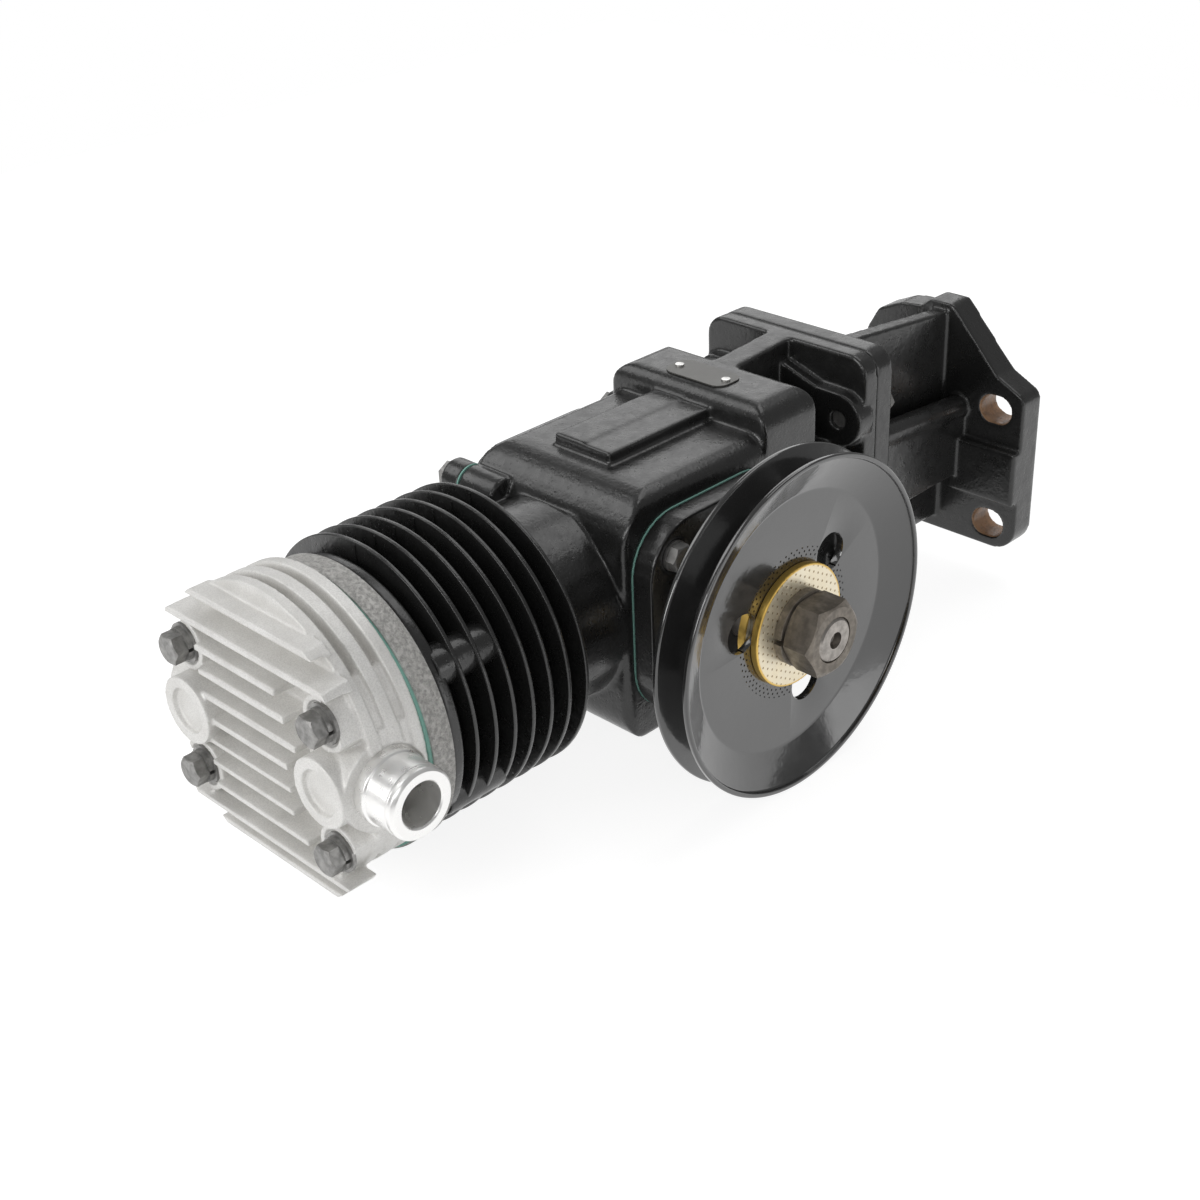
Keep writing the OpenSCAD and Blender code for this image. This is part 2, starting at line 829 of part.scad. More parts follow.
// Inlet and outlet chambers on each side of the divider
module head_chambers() {
    difference() {
        bar_y(head_chamber_r, head_body_y + head_roof_t, head_y + overrun);
        slab_y(head_body_y, head_y + 2 * overrun)
            square([head_divider_t, 2 * head_chamber_r + 2 * overrun], center = true);
    }
}

// Flat round plate with the four head bolt holes
module bolted_disc(r, from, to) {
    difference() {
        bar_y(r, from, to);
        at_xz(head_bolt_places) bar_y(head_bolt_r + hole_gap, from - overrun, to + overrun);
    }
}

module head_gasket() {
    color("#2f8f84") difference() {
        bolted_disc(head_gasket_r, head_y, valve_plate_y);
        bar_y(head_chamber_r, head_y - overrun, valve_plate_y + overrun);
    }
}

module valve_plate() {
    color("#4a4c4c") difference() {
        bolted_disc(valve_plate_d / 2, valve_plate_y, valve_gasket_y);
        for (x = [-valve_port_x, valve_port_x], z = [-valve_port_z, valve_port_z])
            translate([x, 0, z]) bar_y(valve_port_r, valve_plate_y - overrun, valve_gasket_y + overrun);
    }
}

module valve_plate_gasket() {
    color("#2f8f84") difference() {
        bolted_disc(top_flange_d / 2 - seat_gap, valve_gasket_y, -deck_reach);
        bar_y(bore_r + hole_gap, valve_gasket_y - overrun, -deck_reach + overrun);
    }
}

// Thin springy leaf over two ports
module reed(from) {
    slab_y(from, from + reed_t)
        translate([reed_start_x, -reed_half_l]) square([reed_w, 2 * reed_half_l]);
}

module inlet_reed() {
    color("silver") mirror([1, 0, 0]) reed(valve_gasket_y);
}

module outlet_reed() {
    color("silver") reed(valve_plate_y - reed_t);
}

module outlet_reed_stop() {
    color("#9a9a98") slab_y(valve_plate_y - reed_t - reed_stop_t, valve_plate_y - reed_t)
        translate([reed_start_x, -reed_half_l]) square([reed_w, 2 * reed_half_l]);
}

module head_bolts() {
    color("#2c2a28") at_xz(head_bolt_places)
        translate([0, head_bolt_under_y, 0]) facing_front()
            hex_bolt(head_bolt_r, head_bolt_l, head_bolt_af, head_bolt_head_h);
}

module head_spring_washers() {
    color("#2c2a28") at_xz(head_bolt_places)
        translate([0, head_seat_y - head_flat_washer_t, 0]) facing_front()
            split_ring(head_spring_washer_r, head_bolt_r + seat_gap, head_spring_washer_t, spring_gap);
}

module head_flat_washers() {
    color("#35322f") at_xz(head_bolt_places)
        translate([0, head_seat_y, 0]) facing_front()
            ring(head_flat_washer_r, head_bolt_r + seat_gap, head_flat_washer_t);
}

// Outline of the end covers in Y and Z
module cover_outline() {
    polygon(rounded(
        box_corners(-cover_half, cover_half, -cover_half, cover_half),
        [for (i = [0:3]) cover_corner_r]
    ));
}

// Outline of the rear cover: the same with a lug at each bolt
module lugged_outline() {
    cover_outline();
    for (place = rear_bolt_places) translate(place) circle(r = cover_lug_r);
}

// End cover with its pilot, bearing pocket and bolt holes, drawn on the +X side
module end_cover(bolt_places) {
    difference() {
        union() {
            slab_x(cover_face_x, cover_outer_x) children();
            bar_x(chamber_r - fit_gap, bearing_inner_x, cover_face_x + overrun);
        }
        bar_x(bearing_r + fit_gap, bearing_inner_x - overrun, bearing_outer_x);
        bar_x(rear_recess_r, bearing_inner_x, bearing_outer_x + rear_end_gap);
        at_yz(bolt_places) {
            bar_x(cover_bolt_r + hole_gap, cover_face_x - overrun, cover_outer_x + overrun);
            bar_x(cover_seat_r, cover_seat_x, cover_outer_x + overrun);
        }
    }
}

module front_cover() {
    color("#1d1d1f") difference() {
        union() {
            end_cover(cover_bolt_places) cover_outline();
            difference() {
                bar_x(nose_r, cover_outer_x - overrun, cover_outer_x + nose_l);
                at_yz(cover_bolt_places)
                    bar_x(cover_seat_r, cover_seat_x, cover_outer_x + overrun);
            }
        }
        bar_x(shaft_hole_r, bearing_inner_x, cover_outer_x + nose_l + overrun);
        bar_x(seal_r + fit_gap, cover_outer_x + nose_l - seal_w, cover_outer_x + nose_l + overrun);
    }
}

module rear_cover() {
    color("#1d1d1f") mirror([1, 0, 0]) end_cover(rear_bolt_places) lugged_outline();
}

// Paper gasket between the crankcase and a cover, drawn on the +X side
module cover_gasket(bolt_places) {
    difference() {
        slab_x(case_half_w, cover_face_x) children();
        bar_x(chamber_r + hole_gap, case_half_w - overrun, cover_face_x + overrun);
        at_yz(bolt_places)
            bar_x(cover_bolt_r + hole_gap, case_half_w - overrun, cover_face_x + overrun);
    }
}

module front_cover_gasket() {
    color("#2f8f84") cover_gasket(cover_bolt_places) cover_outline();
}

module rear_cover_gasket() {
    color("#2f8f84") mirror([1, 0, 0]) cover_gasket(rear_bolt_places) lugged_outline();
}

// Bolts of a cover, drawn on the +X side
module cover_bolts(bolt_places) {
    at_yz(bolt_places)
        translate([cover_seat_x + cover_washer_t, 0, 0]) facing_right()
            hex_bolt(cover_bolt_r, cover_bolt_l, cover_bolt_af, cover_bolt_head_h);
}

// Washers under the bolts of a cover, drawn on the +X side
module cover_washers(bolt_places) {
    at_yz(bolt_places)
        translate([cover_seat_x, 0, 0]) facing_right()
            ring(cover_washer_r, cover_bolt_r + seat_gap, cover_washer_t);
}

module front_cover_bolts() {
    color("#262626") cover_bolts(cover_bolt_places);
}

module front_cover_washers() {
    color("#262626") cover_washers(cover_bolt_places);
}

module rear_cover_bolts() {
    color("#262626") mirror([1, 0, 0]) cover_bolts(rear_bolt_places);
}

module rear_cover_washers() {
    color("#262626") mirror([1, 0, 0]) cover_washers(rear_bolt_places);
}

module shaft_seal() {
    color("#202020")
        translate([cover_outer_x + nose_l - seal_w, 0, 0]) facing_right()
            ring(seal_r, journal_r + fit_gap, seal_w);
}

// Ring of a main bearing with its ball track, drawn on the +X side
module bearing_ring(outer_r, inner_r) {
    difference() {
        translate([bearing_inner_x, 0, 0]) facing_right() ring(outer_r, inner_r, bearing_w);
        translate([bearing_mid_x, 0, 0]) facing_right()
            rotate_extrude() translate([ball_pitch_r, 0]) circle(r = ball_r + ball_gap);
    }
}

// Children on the +X side and mirrored on the -X side
module on_both_ends() {
    for (side = [0, 1]) mirror([side, 0, 0]) children();
}

module bearing_outer_rings() {
    color("silver") on_both_ends() bearing_ring(bearing_r, ball_pitch_r + ring_gap_half);
}

module bearing_inner_rings() {
    color("silver") on_both_ends() bearing_ring(ball_pitch_r - ring_gap_half, journal_r);
}

module bearing_balls() {
    color("silver") on_both_ends() for (i = [0:ball_count - 1])
        rotate([i * 360 / ball_count, 0, 0]) translate([bearing_mid_x, ball_pitch_r, 0]) sphere(r = ball_r);
}

module nameplate() {
    color("#2b2b2d") difference() {
        translate([nameplate_x, nameplate_y, shoulder_top]) linear_extrude(nameplate_t)
            polygon(rounded(
                box_corners(-nameplate_half_l, nameplate_half_l, -nameplate_half_w, nameplate_half_w),
                [for (i = [0:3]) nameplate_corner_r]
            ));
        for (x = rivet_places) translate([x, nameplate_y, shoulder_top - overrun])
            cylinder(r = rivet_pin_r + fit_gap, h = nameplate_t + 2 * overrun);
    }
}

module nameplate_rivets() {
    color("#d8d8d8") for (x = rivet_places)
        translate([x, nameplate_y, shoulder_top + nameplate_t]) {
            cylinder(r = rivet_r, h = rivet_h);
            translate([0, 0, -rivet_pin_l]) cylinder(r = rivet_pin_r, h = rivet_pin_l + rivet_h / 2);
        }
}

// One crank web between the crankpin and a journal
module crank_web(from, to) {
    slab_x(from, to) {
        translate([crankpin_y, 0]) circle(r = web_pin_r);
        translate([crankpin_y, -web_pin_r]) square([-crankpin_y + journal_shoulder_r, 2 * web_pin_r]);
        intersection() {
            circle(r = counterweight_r);
            translate([0, -counterweight_half_w]) square([counterweight_r, 2 * counterweight_half_w]);
        }
    }
}

module crankshaft() {
    color("#8d8b86") difference() {
        union() {
            crank_web(web_inner_x, web_outer_x);
            crank_web(-web_outer_x, -web_inner_x);
            translate([0, crankpin_y, 0]) bar_x(crankpin_r, -web_inner_x - overrun, web_inner_x + overrun);
            bar_x(journal_shoulder_r, -bearing_inner_x, -web_outer_x + overrun);
            bar_x(journal_r, rear_journal_end_x, -bearing_inner_x + overrun);
            turned_x([
                [0, web_outer_x - overrun],
                [journal_shoulder_r, web_outer_x - overrun],
                [journal_shoulder_r, bearing_inner_x],
                [journal_r, bearing_inner_x],
                [journal_r, shaft_shoulder_x],
                [seat_r, shaft_shoulder_x],
                [seat_r, seat_end_x],
                [shaft_thread_r, seat_end_x],
                [shaft_thread_r, nut_outer_x - thread_chamfer],
                [shaft_thread_r - thread_chamfer, nut_outer_x],
                [0, nut_outer_x]
            ]);
        }
        turned_x([
            [0, nut_outer_x - centre_hole_depth],
            [centre_hole_r, nut_outer_x - centre_hole_r],
            [centre_hole_r, nut_outer_x + overrun],
            [0, nut_outer_x + overrun]
        ]);
        key_slot();
        translate([0, crankpin_y / 2, 0])
            bar_x(plug_r + fit_gap, rear_journal_end_x - overrun, rear_journal_end_x + plug_l + seat_gap);
    }
}

// Slot of the pulley's key in the seat, on the +Z side
module key_slot() {
    translate([shaft_shoulder_x, -key_w / 2, seat_r - key_depth])
        cube([seat_end_x - shaft_shoulder_x + overrun, key_w, key_depth + overrun]);
}

module pulley_key() {
    color("#77756f") translate([shaft_shoulder_x + key_end_gap, -key_w / 2, seat_r - key_depth])
        cube([web_reach - shaft_shoulder_x - 2 * key_end_gap, key_w, key_depth + key_h]);
}

// Hole for the shaft's seat with its keyway
module keyed_hole(from, to) {
    bar_x(seat_r + fit_gap, from - overrun, to + overrun);
    translate([from - overrun, -key_w / 2 - fit_gap, 0])
        cube([to - from + 2 * overrun, key_w + 2 * fit_gap, seat_r + key_h + fit_gap]);
}

// Belt pulley of pressed plate: a flat web and two flared flanges
module pulley() {
    front_x = web_reach + rim_front;
    rear_x = web_reach - rim_rear;
    groove_x = (web_reach + web_reach - web_t) / 2;
    color("#141415") difference() {
        turned_x([
            [0, web_reach],
            [web_r, web_reach],
            [pulley_r - rim_t, front_x - rim_lip],
            [pulley_r - rim_t, front_x],
            [pulley_r, front_x],
            [pulley_r, front_x - rim_t],
            [groove_bottom_r, groove_x + groove_half_bottom],
            [groove_bottom_r, groove_x - groove_half_bottom],
            [pulley_r, rear_x + rim_t],
            [pulley_r, rear_x],
            [pulley_r - rim_t, rear_x],
            [web_r, web_reach - web_t],
            [0, web_reach - web_t]
        ]);
        keyed_hole(web_reach - web_t, web_reach);
        for (angle = web_hole_angles) rotate([angle, 0, 0]) translate([0, web_hole_r, 0])
            bar_x(web_hole_d / 2, web_reach - web_t - overrun, web_reach + overrun);
    }
}

module inner_clamp_washer() {
    color("#c9a24a") difference() {
        bar_x(clamp_washer_d / 2, shaft_shoulder_x, web_reach - web_t);
        keyed_hole(shaft_shoulder_x, web_reach - web_t);
    }
}

module outer_clamp_washer() {
    color("#d9bd74") translate([web_reach, 0, 0]) facing_right()
        ring(clamp_washer_d / 2, seat_r + fit_gap, clamp_washer_t);
}

module crank_spring_washer() {
    color("#55504a") translate([spring_washer_x, 0, 0]) facing_right() rotate([0, 0, -90])
        split_ring(crank_spring_washer_r, shaft_thread_r + seat_gap, crank_spring_washer_t, crank_spring_gap);
}

// Nut on the crankshaft's end, its outer corners chamfered
module crank_nut() {
    corner_r = crank_nut_af / sqrt(3);
    color("#3a332c") difference() {
        intersection() {
            translate([nut_x, 0, 0]) facing_right() cylinder(r = corner_r, h = crank_nut_h, $fn = 6);
            turned_x([
                [0, nut_x],
                [nut_face_r + nut_chamfer_h, nut_x],
                [corner_r + overrun, nut_x + nut_chamfer_h],
                [corner_r + overrun, nut_outer_x - nut_chamfer_h],
                [nut_face_r, nut_outer_x],
                [0, nut_outer_x]
            ]);
        }
        bar_x(shaft_thread_r + fit_gap, nut_x - overrun, nut_outer_x + overrun);
    }
}

module oilway_plug() {
    color("#8d8b86") translate([0, crankpin_y / 2, 0])
        bar_x(plug_r, rear_journal_end_x, rear_journal_end_x + plug_l);
}

// Half of the big end on the side that keep tells, from the parting plane
module big_end_half(keep, ear_h) {
    translate([crankpin_y, 0]) intersection() {
        difference() {
            union() {
                circle(r = rod_big_r);
                translate([keep < 0 ? -ear_h : 0, -rod_ear_half_w]) square([ear_h, 2 * rod_ear_half_w]);
            }
            circle(r = crankpin_r + fit_gap + shell_t);
        }
        translate([keep < 0 ? -2 * rod_big_r : 0, -2 * rod_big_r]) square([2 * rod_big_r, 4 * rod_big_r]);
    }
}

module connecting_rod() {
    shank_start = crankpin_y - rod_big_r + rod_shank_sink;
    shank_end = gudgeon_y + rod_small_r - rod_shank_sink;
    color("#9c9a96") difference() {
        union() {
            slab_x(-rod_w / 2, rod_w / 2) big_end_half(-1, rod_ear_h);
            slab_x(-rod_shank_t / 2, rod_shank_t / 2)
                polygon([
                    [shank_start, -rod_shank_big_half],
                    [shank_start, rod_shank_big_half],
                    [shank_end, rod_shank_small_half],
                    [shank_end, -rod_shank_small_half]
                ]);
            translate([0, gudgeon_y, 0]) bar_x(rod_small_r, -rod_w / 2, rod_w / 2);
        }
        on_both_ends() slab_x(rod_shank_t / 2 - rod_recess_t, rod_shank_t / 2 + overrun)
            polygon([
                [shank_start - rod_big_r / 3, -rod_shank_big_half * rod_recess_share],
                [shank_start - rod_big_r / 3, rod_shank_big_half * rod_recess_share],
                [shank_end + rod_small_r / 3, rod_shank_small_half * rod_recess_share],
                [shank_end + rod_small_r / 3, -rod_shank_small_half * rod_recess_share]
            ]);
        translate([0, gudgeon_y, 0])
            bar_x(gudgeon_r + fit_gap + bush_t, -rod_w / 2 - overrun, rod_w / 2 + overrun);
        at_xz([[0, -rod_bolt_z], [0, rod_bolt_z]])
            bar_y(rod_bolt_r + fit_gap, crankpin_y - rod_ear_h - overrun, crankpin_y + overrun);
    }
}

module rod_cap() {
    color("#9c9a96") difference() {
        slab_x(-rod_w / 2, rod_w / 2) big_end_half(1, rod_cap_h);
        at_xz([[0, -rod_bolt_z], [0, rod_bolt_z]])
            bar_y(rod_bolt_r + fit_gap, crankpin_y - overrun, crankpin_y + rod_cap_h + overrun);
        at_xz([[0, -rod_bolt_z], [0, rod_bolt_z]])
            bar_y(rod_bolt_af / sqrt(3) + seat_gap, crankpin_y + rod_cap_h, crankpin_y + rod_big_r + overrun);
    }
}

module rod_bolts() {
    color("#3a3a3a") at_xz([[0, -rod_bolt_z], [0, rod_bolt_z]])
        translate([0, crankpin_y + rod_cap_h, 0]) facing_back()
            hex_bolt(rod_bolt_r, rod_cap_h + rod_ear_h, rod_bolt_af, rod_bolt_head_h);
}

module big_end_shells() {
    color("#b0a890") translate([-rod_w / 2, crankpin_y, 0]) difference() {
        facing_right() ring(crankpin_r + fit_gap + shell_t, crankpin_r + fit_gap, rod_w);
        translate([-overrun, -shell_parting / 2, -rod_big_r])
            cube([rod_w + 2 * overrun, shell_parting, 2 * rod_big_r]);
    }
}

module small_end_bush() {
    color("#b08d4f") translate([-rod_w / 2, gudgeon_y, 0]) facing_right()
        ring(gudgeon_r + fit_gap + bush_t, gudgeon_r + fit_gap, rod_w);
}

module gudgeon_pin() {
    color("silver") translate([-rod_w / 2, gudgeon_y, 0]) facing_right()
        ring(gudgeon_r, gudgeon_bore_r, rod_w);
}

// Groove of a piston ring, its upper side at this distance below the crown
module ring_groove(depth_below, t) {
    groove_y = gudgeon_y - crown_h + depth_below;
    difference() {
        bar_y(piston_r + overrun, groove_y, groove_y + t);
        bar_y(piston_r - ring_depth, groove_y - overrun, groove_y + t + overrun);
    }
}

module piston() {
    crown_y = gudgeon_y - crown_h;
    inner_y = crown_y + crown_t;
    skirt_y = gudgeon_y + skirt_h;
    color("#b4b4b2") difference() {
        bar_y(piston_r, crown_y, skirt_y);
        intersection() {
            bar_y(piston_bore_r, inner_y, skirt_y + overrun);
            slab_y(inner_y, skirt_y + overrun) square([2 * boss_inner_x, 2 * bore_d], center = true);
        }
        bar_y(piston_bore_r, gudgeon_y + piston_boss_r, skirt_y + overrun);
        translate([0, gudgeon_y, 0]) bar_x(gudgeon_r + fit_gap, -piston_r - overrun, piston_r + overrun);
        ring_groove(first_ring_y, ring_t);
        ring_groove(first_ring_y + ring_pitch, ring_t);
        ring_groove(first_ring_y + 2 * ring_pitch, oil_ring_t);
    }
}

// Piston ring in its groove, its upper side at this distance below the crown
module piston_ring(depth_below, t) {
    translate([0, gudgeon_y - crown_h + depth_below + ring_side_gap, 0]) facing_back()
        ring(bore_r - fit_gap, bore_r - fit_gap - ring_width, t - 2 * ring_side_gap);
}

module compression_rings() {
    color("#6f6f6f") for (i = [0, 1]) piston_ring(first_ring_y + i * ring_pitch, ring_t);
}

module oil_ring() {
    color("#6f6f6f") piston_ring(first_ring_y + 2 * ring_pitch, oil_ring_t);
}

// Outline of the bracket's slotted plate in X and Z
module plate_outline() {
    polygon(rounded(
        [
            [plate_left, plate_bottom],
            [plate_right, plate_bottom],
            [plate_right, plate_right_top],
            [plate_shoulder_x, plate_shoulder_z],
            [bracket_wall_x + bracket_wall_t + plate_peak_side, plate_peak],
            [bracket_wall_x - plate_peak_side, plate_peak],
            plate_dip,
            plate_ear,
            plate_ear_side,
            [plate_left, plate_left_top]
        ],
        [
            plate_corner_r, plate_corner_r, plate_large_r, plate_large_r, plate_small_r,
            plate_small_r, plate_small_r, plate_large_r, plate_large_r, plate_large_r
        ]
    ));
}

// Slot through the plate, long along X
module slot() {
    half = (slot_l - slot_w) / 2;
    slab_y(plate_front - band_h - overrun, bracket_reach + overrun) {
        for (side = [-half, half]) translate([side, 0]) circle(r = slot_w / 2);
        square([2 * half, slot_w], center = true);
    }
}

module bracket() {
    color("#19191b") difference() {
        union() {
            slab_y(joint_reach, bracket_flange_rear) flange_outline();
            slab_y(plate_front, bracket_reach) plate_outline();
            slab_y(plate_front - band_h, plate_front + overrun)
                polygon(box_corners(band_left, plate_right, band_bottom, band_top));
            slab_x(bracket_wall_x, bracket_wall_x + bracket_wall_t)
                polygon([
                    [bracket_flange_rear - overrun, bracket_wall_bottom],
                    [plate_front + overrun, bracket_wall_bottom],
                    [plate_front + overrun, bracket_wall_plate_top],
                    [bracket_flange_rear - overrun, bracket_wall_flange_top]
                ]);
            slab_x(side_wall_x, side_wall_x + side_wall_t)
                polygon([
                    [bracket_flange_rear - overrun, side_wall_bottom],
                    [plate_front + overrun, side_wall_bottom],
                    [plate_front + overrun, side_wall_top - side_wall_drop],
                    [bracket_flange_rear - overrun, side_wall_top]
                ]);
            side_wall_bead();
        }
        for (x = [-slot_pitch_x / 2, slot_pitch_x / 2], z = [-slot_pitch_z / 2, slot_pitch_z / 2])
            translate([slot_centre_x + x, 0, z - slot_centre_drop]) slot();
        at_xz(joint_bolt_places)
            bar_y(bracket_bolt_r + hole_gap, joint_reach - overrun, bracket_flange_rear + overrun);
    }
}

// Round bead along the top of the bracket's side wall
module side_wall_bead() {
    run = plate_front - bracket_flange_rear;
    translate([side_wall_x + side_wall_t / 2, bracket_flange_rear, side_wall_top])
        rotate([-atan2(side_wall_drop, run), 0, 0])
            bar_y(side_bead_r, 0, norm([run, side_wall_drop]));
}

module bracket_bolts() {
    color("#2c2a28") at_xz(joint_bolt_places)
        translate([0, bracket_flange_rear + bracket_washer_t, 0]) facing_back()
            hex_bolt(
                bracket_bolt_r,
                bracket_washer_t + bracket_flange_t + rear_flange_t + boss_h - bracket_bolt_recess,
                bracket_bolt_af,
                bracket_bolt_head_h
            );
}

module bracket_washers() {
    color("#2c2a28") at_xz(joint_bolt_places)
        translate([0, bracket_flange_rear, 0]) facing_back()
            ring(bracket_washer_r, bracket_bolt_r + seat_gap, bracket_washer_t);
}

// Moves the drawing frame so that the middle of the slots is the origin
module placed() {
    translate(-slot_centre) children();
}

placed() crankcase();
placed() cylinder_head();
placed() head_gasket();
placed() valve_plate();
placed() valve_plate_gasket();
placed() inlet_reed();
placed() outlet_reed();
placed() outlet_reed_stop();
placed() head_bolts();
placed() head_spring_washers();
placed() head_flat_washers();
placed() front_cover();
placed() front_cover_gasket();
placed() front_cover_bolts();
placed() front_cover_washers();
placed() shaft_seal();
placed() rear_cover();
placed() rear_cover_gasket();
placed() rear_cover_bolts();
placed() rear_cover_washers();
placed() bearing_outer_rings();
placed() bearing_balls();
placed() bearing_inner_rings();
placed() nameplate();
placed() nameplate_rivets();
placed() bracket();
placed() bracket_bolts();
placed() bracket_washers();
placed() crankshaft();
placed() pulley_key();
placed() pulley();
placed() inner_clamp_washer();
placed() outer_clamp_washer();
placed() crank_spring_washer();
placed() crank_nut();
placed() oilway_plug();
placed() connecting_rod();
placed() rod_cap();
placed() rod_bolts();
placed() big_end_shells();
placed() small_end_bush();
placed() gudgeon_pin();
placed() piston();
placed() compression_rings();
placed() oil_ring();
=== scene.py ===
"""Looks of the belt-driven piston compressor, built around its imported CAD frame.

Shapes are drawn in millimetres around the crank's axis, as in the CAD source: X along the crank
towards the pulley, -Y towards the cylinder, Z up. The place() step moves them into the row frame.
"""

import json
from math import cos, pi, radians, sin, tan

import bmesh
import bpy
from mathutils import Matrix, Vector


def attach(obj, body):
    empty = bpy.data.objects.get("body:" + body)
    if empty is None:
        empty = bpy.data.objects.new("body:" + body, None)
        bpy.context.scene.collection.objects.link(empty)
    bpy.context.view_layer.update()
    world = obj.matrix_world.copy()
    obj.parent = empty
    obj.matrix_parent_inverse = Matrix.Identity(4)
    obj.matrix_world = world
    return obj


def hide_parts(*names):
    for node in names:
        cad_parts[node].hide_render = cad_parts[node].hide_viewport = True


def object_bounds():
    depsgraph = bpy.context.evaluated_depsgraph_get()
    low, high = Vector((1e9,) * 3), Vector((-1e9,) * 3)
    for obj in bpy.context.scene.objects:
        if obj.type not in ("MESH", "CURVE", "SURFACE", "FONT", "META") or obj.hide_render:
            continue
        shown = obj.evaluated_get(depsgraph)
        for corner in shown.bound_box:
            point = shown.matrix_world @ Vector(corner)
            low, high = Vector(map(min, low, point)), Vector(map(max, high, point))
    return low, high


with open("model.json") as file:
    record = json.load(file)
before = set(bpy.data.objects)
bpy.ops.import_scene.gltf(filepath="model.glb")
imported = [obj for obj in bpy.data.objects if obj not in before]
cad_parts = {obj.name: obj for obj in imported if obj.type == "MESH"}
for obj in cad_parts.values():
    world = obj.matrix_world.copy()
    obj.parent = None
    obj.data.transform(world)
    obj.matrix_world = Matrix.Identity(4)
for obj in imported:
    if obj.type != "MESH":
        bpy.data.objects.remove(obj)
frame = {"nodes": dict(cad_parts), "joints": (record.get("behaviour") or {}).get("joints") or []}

MM = 0.001
TAU = 2 * pi
CAD_BOX = [list(corner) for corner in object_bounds()]
CRANK = Vector(next(j["pos_m"] for j in frame["joints"] if j["name"] == "crank_turn"))

# Camera, from a fit of the photograph's drilled faces and circles
CAMERA_PLACE = (0.5728, -0.8673, 0.46855)
CAMERA_RIGHT = (0.71126, 0.70189, -0.03819)
CAMERA_UP = (-0.32034, 0.37202, 0.87119)
LENS = 54.32
SENSOR = 36

# Cylinder
BORE_R = 37.5
BARREL_R = 47
NECK_R = 54.5
DECK_Y = -189
FIN_R = 75
FIN_T = 2.2
FIN_PITCH = 11.75
FIN_START = 12.8
FIN_COUNT = 7
FIN_EDGE = 0.7
FIN_ROOT = 5
JOIN_L = 3
JOIN_TAPER = 1
RIM_CENTRE = (-3, 1.5)
SEAM_W = 1.2
SEAM_H = 0.5
FLANGE_R = 71
FLANGE_T = 7
LAST_FIN_Y = DECK_Y + FIN_START + (FIN_COUNT - 1) * FIN_PITCH
CASE_CUT_Y = LAST_FIN_Y + FIN_T + 0.1
HEAD_BOLT_X = 52
HEAD_BOLT_Z = 34
BOLT_BOSS_R = 10.5
BOLT_BOSS_L = 38

# Head
SPIGOT_Y = -224
SPIGOT_R = 17.34
SPIGOT_BORE_R = 11
SPIGOT_START = 66
SPIGOT_END = 91
SPIGOT_GROOVE = 86
SPIGOT_CUT = 72
SPIGOT_ROOT_R = 18.3
BOLT_UNDER_Y = -245.9
BOLT_FACE_Y = -252.5
BOLT_END_Y = -156
BOLT_AF = 14
BOLT_R = 5
BOLT_CHAMFER = 0.5

# Front cover's bolts
COVER_BOLT = 38
COVER_BOLT_UNDER_X = 68.7
COVER_BOLT_FACE_X = 74.2
COVER_BOLT_END_X = 39
COVER_BOLT_AF = 13
COVER_BOLT_R = 4

# Voxel sizes and smoothing steps of the castings
CASE_VOXEL = 1.1
CASE_STEPS = 6
HEAD_VOXEL = 0.75
HEAD_STEPS = 2
COVER_VOXEL = 0.8
COVER_STEPS = 4
BRACKET_VOXEL = 1.1
BRACKET_STEPS = 6
MOST_TRIANGLES = 195_000

# Pulley
WEB_X = 111.5
WEB_T = 4
WEB_R = 69.7
PULLEY_R = 90
RIM_FRONT_X = 121.7
RIM_REAR_X = 100
RIM_T = 2.6
RIM_LIP = 2
GROOVE_R = 72.5
GROOVE_HALF = 1.6
SEAT_R = 15.05
HOLE_R = 10.5
HOLE_PLACE_R = 40
HOLE_ANGLES = (45, 165, 285)
DOT_RING_R = 37.0
DOT_RING_HALF = 3.4
DOT_RING_STEP = 4.2
DOTS_AROUND = 60

# Bracket's slots, from the middle of the pattern
SLOT_X = 37.5
SLOT_Z = 37
SLOT_HALF_RUN = 2.25
SLOT_R = 8.5
PLATE_DEPTH = 26

# Clamping parts on the crankshaft
WASHER_R = 32.6
WASHER_T = 4.1
THREAD_R = 12
SPRING_R = 20
SPRING_T = 4.6
SPRING_GAP = 3
NUT_AF = 36
NUT_H = 18
NUT_INSET = 0.6
NUT_CHAMFER = 0.9
THREAD_GAP = 0.05
SPRING_PLAY = 0.3
NUT_X = WEB_X + WASHER_T + SPRING_T
SHAFT_END = NUT_X + NUT_H

# Stage, in metres
FLOOR_HALF = 1.3
FLOOR_GAP = 0.0005
STAGE_GLOW = 0.86
STAGE_SHADE = 0.35

# Softboxes as direction from the object, distance in metres, size in metres and radiance
SOFTBOXES = (
    ("overhead", (0.0, 0.4, 0.9), 1.5, 0.9, 1.7),
    ("front_left", (-0.66, -0.35, 0.66), 1.7, 0.9, 2.2),
    ("front", (-0.15, -1.0, 0.38), 1.7, 0.7, 5.2),
    ("back_left", (-0.63, 0.61, 0.49), 1.8, 1.1, 1.2),
    ("front_right", (0.6, -0.8, 0.6), 1.9, 0.7, 3.0),
    ("right", (1.0, 0.25, 0.1), 1.9, 0.8, 2.0),
)
WORLD_LIGHT = 0.28


def link(name, mesh):
    """New object that shows a mesh."""
    made = bpy.data.objects.new(name, mesh)
    bpy.context.scene.collection.objects.link(made)
    return made


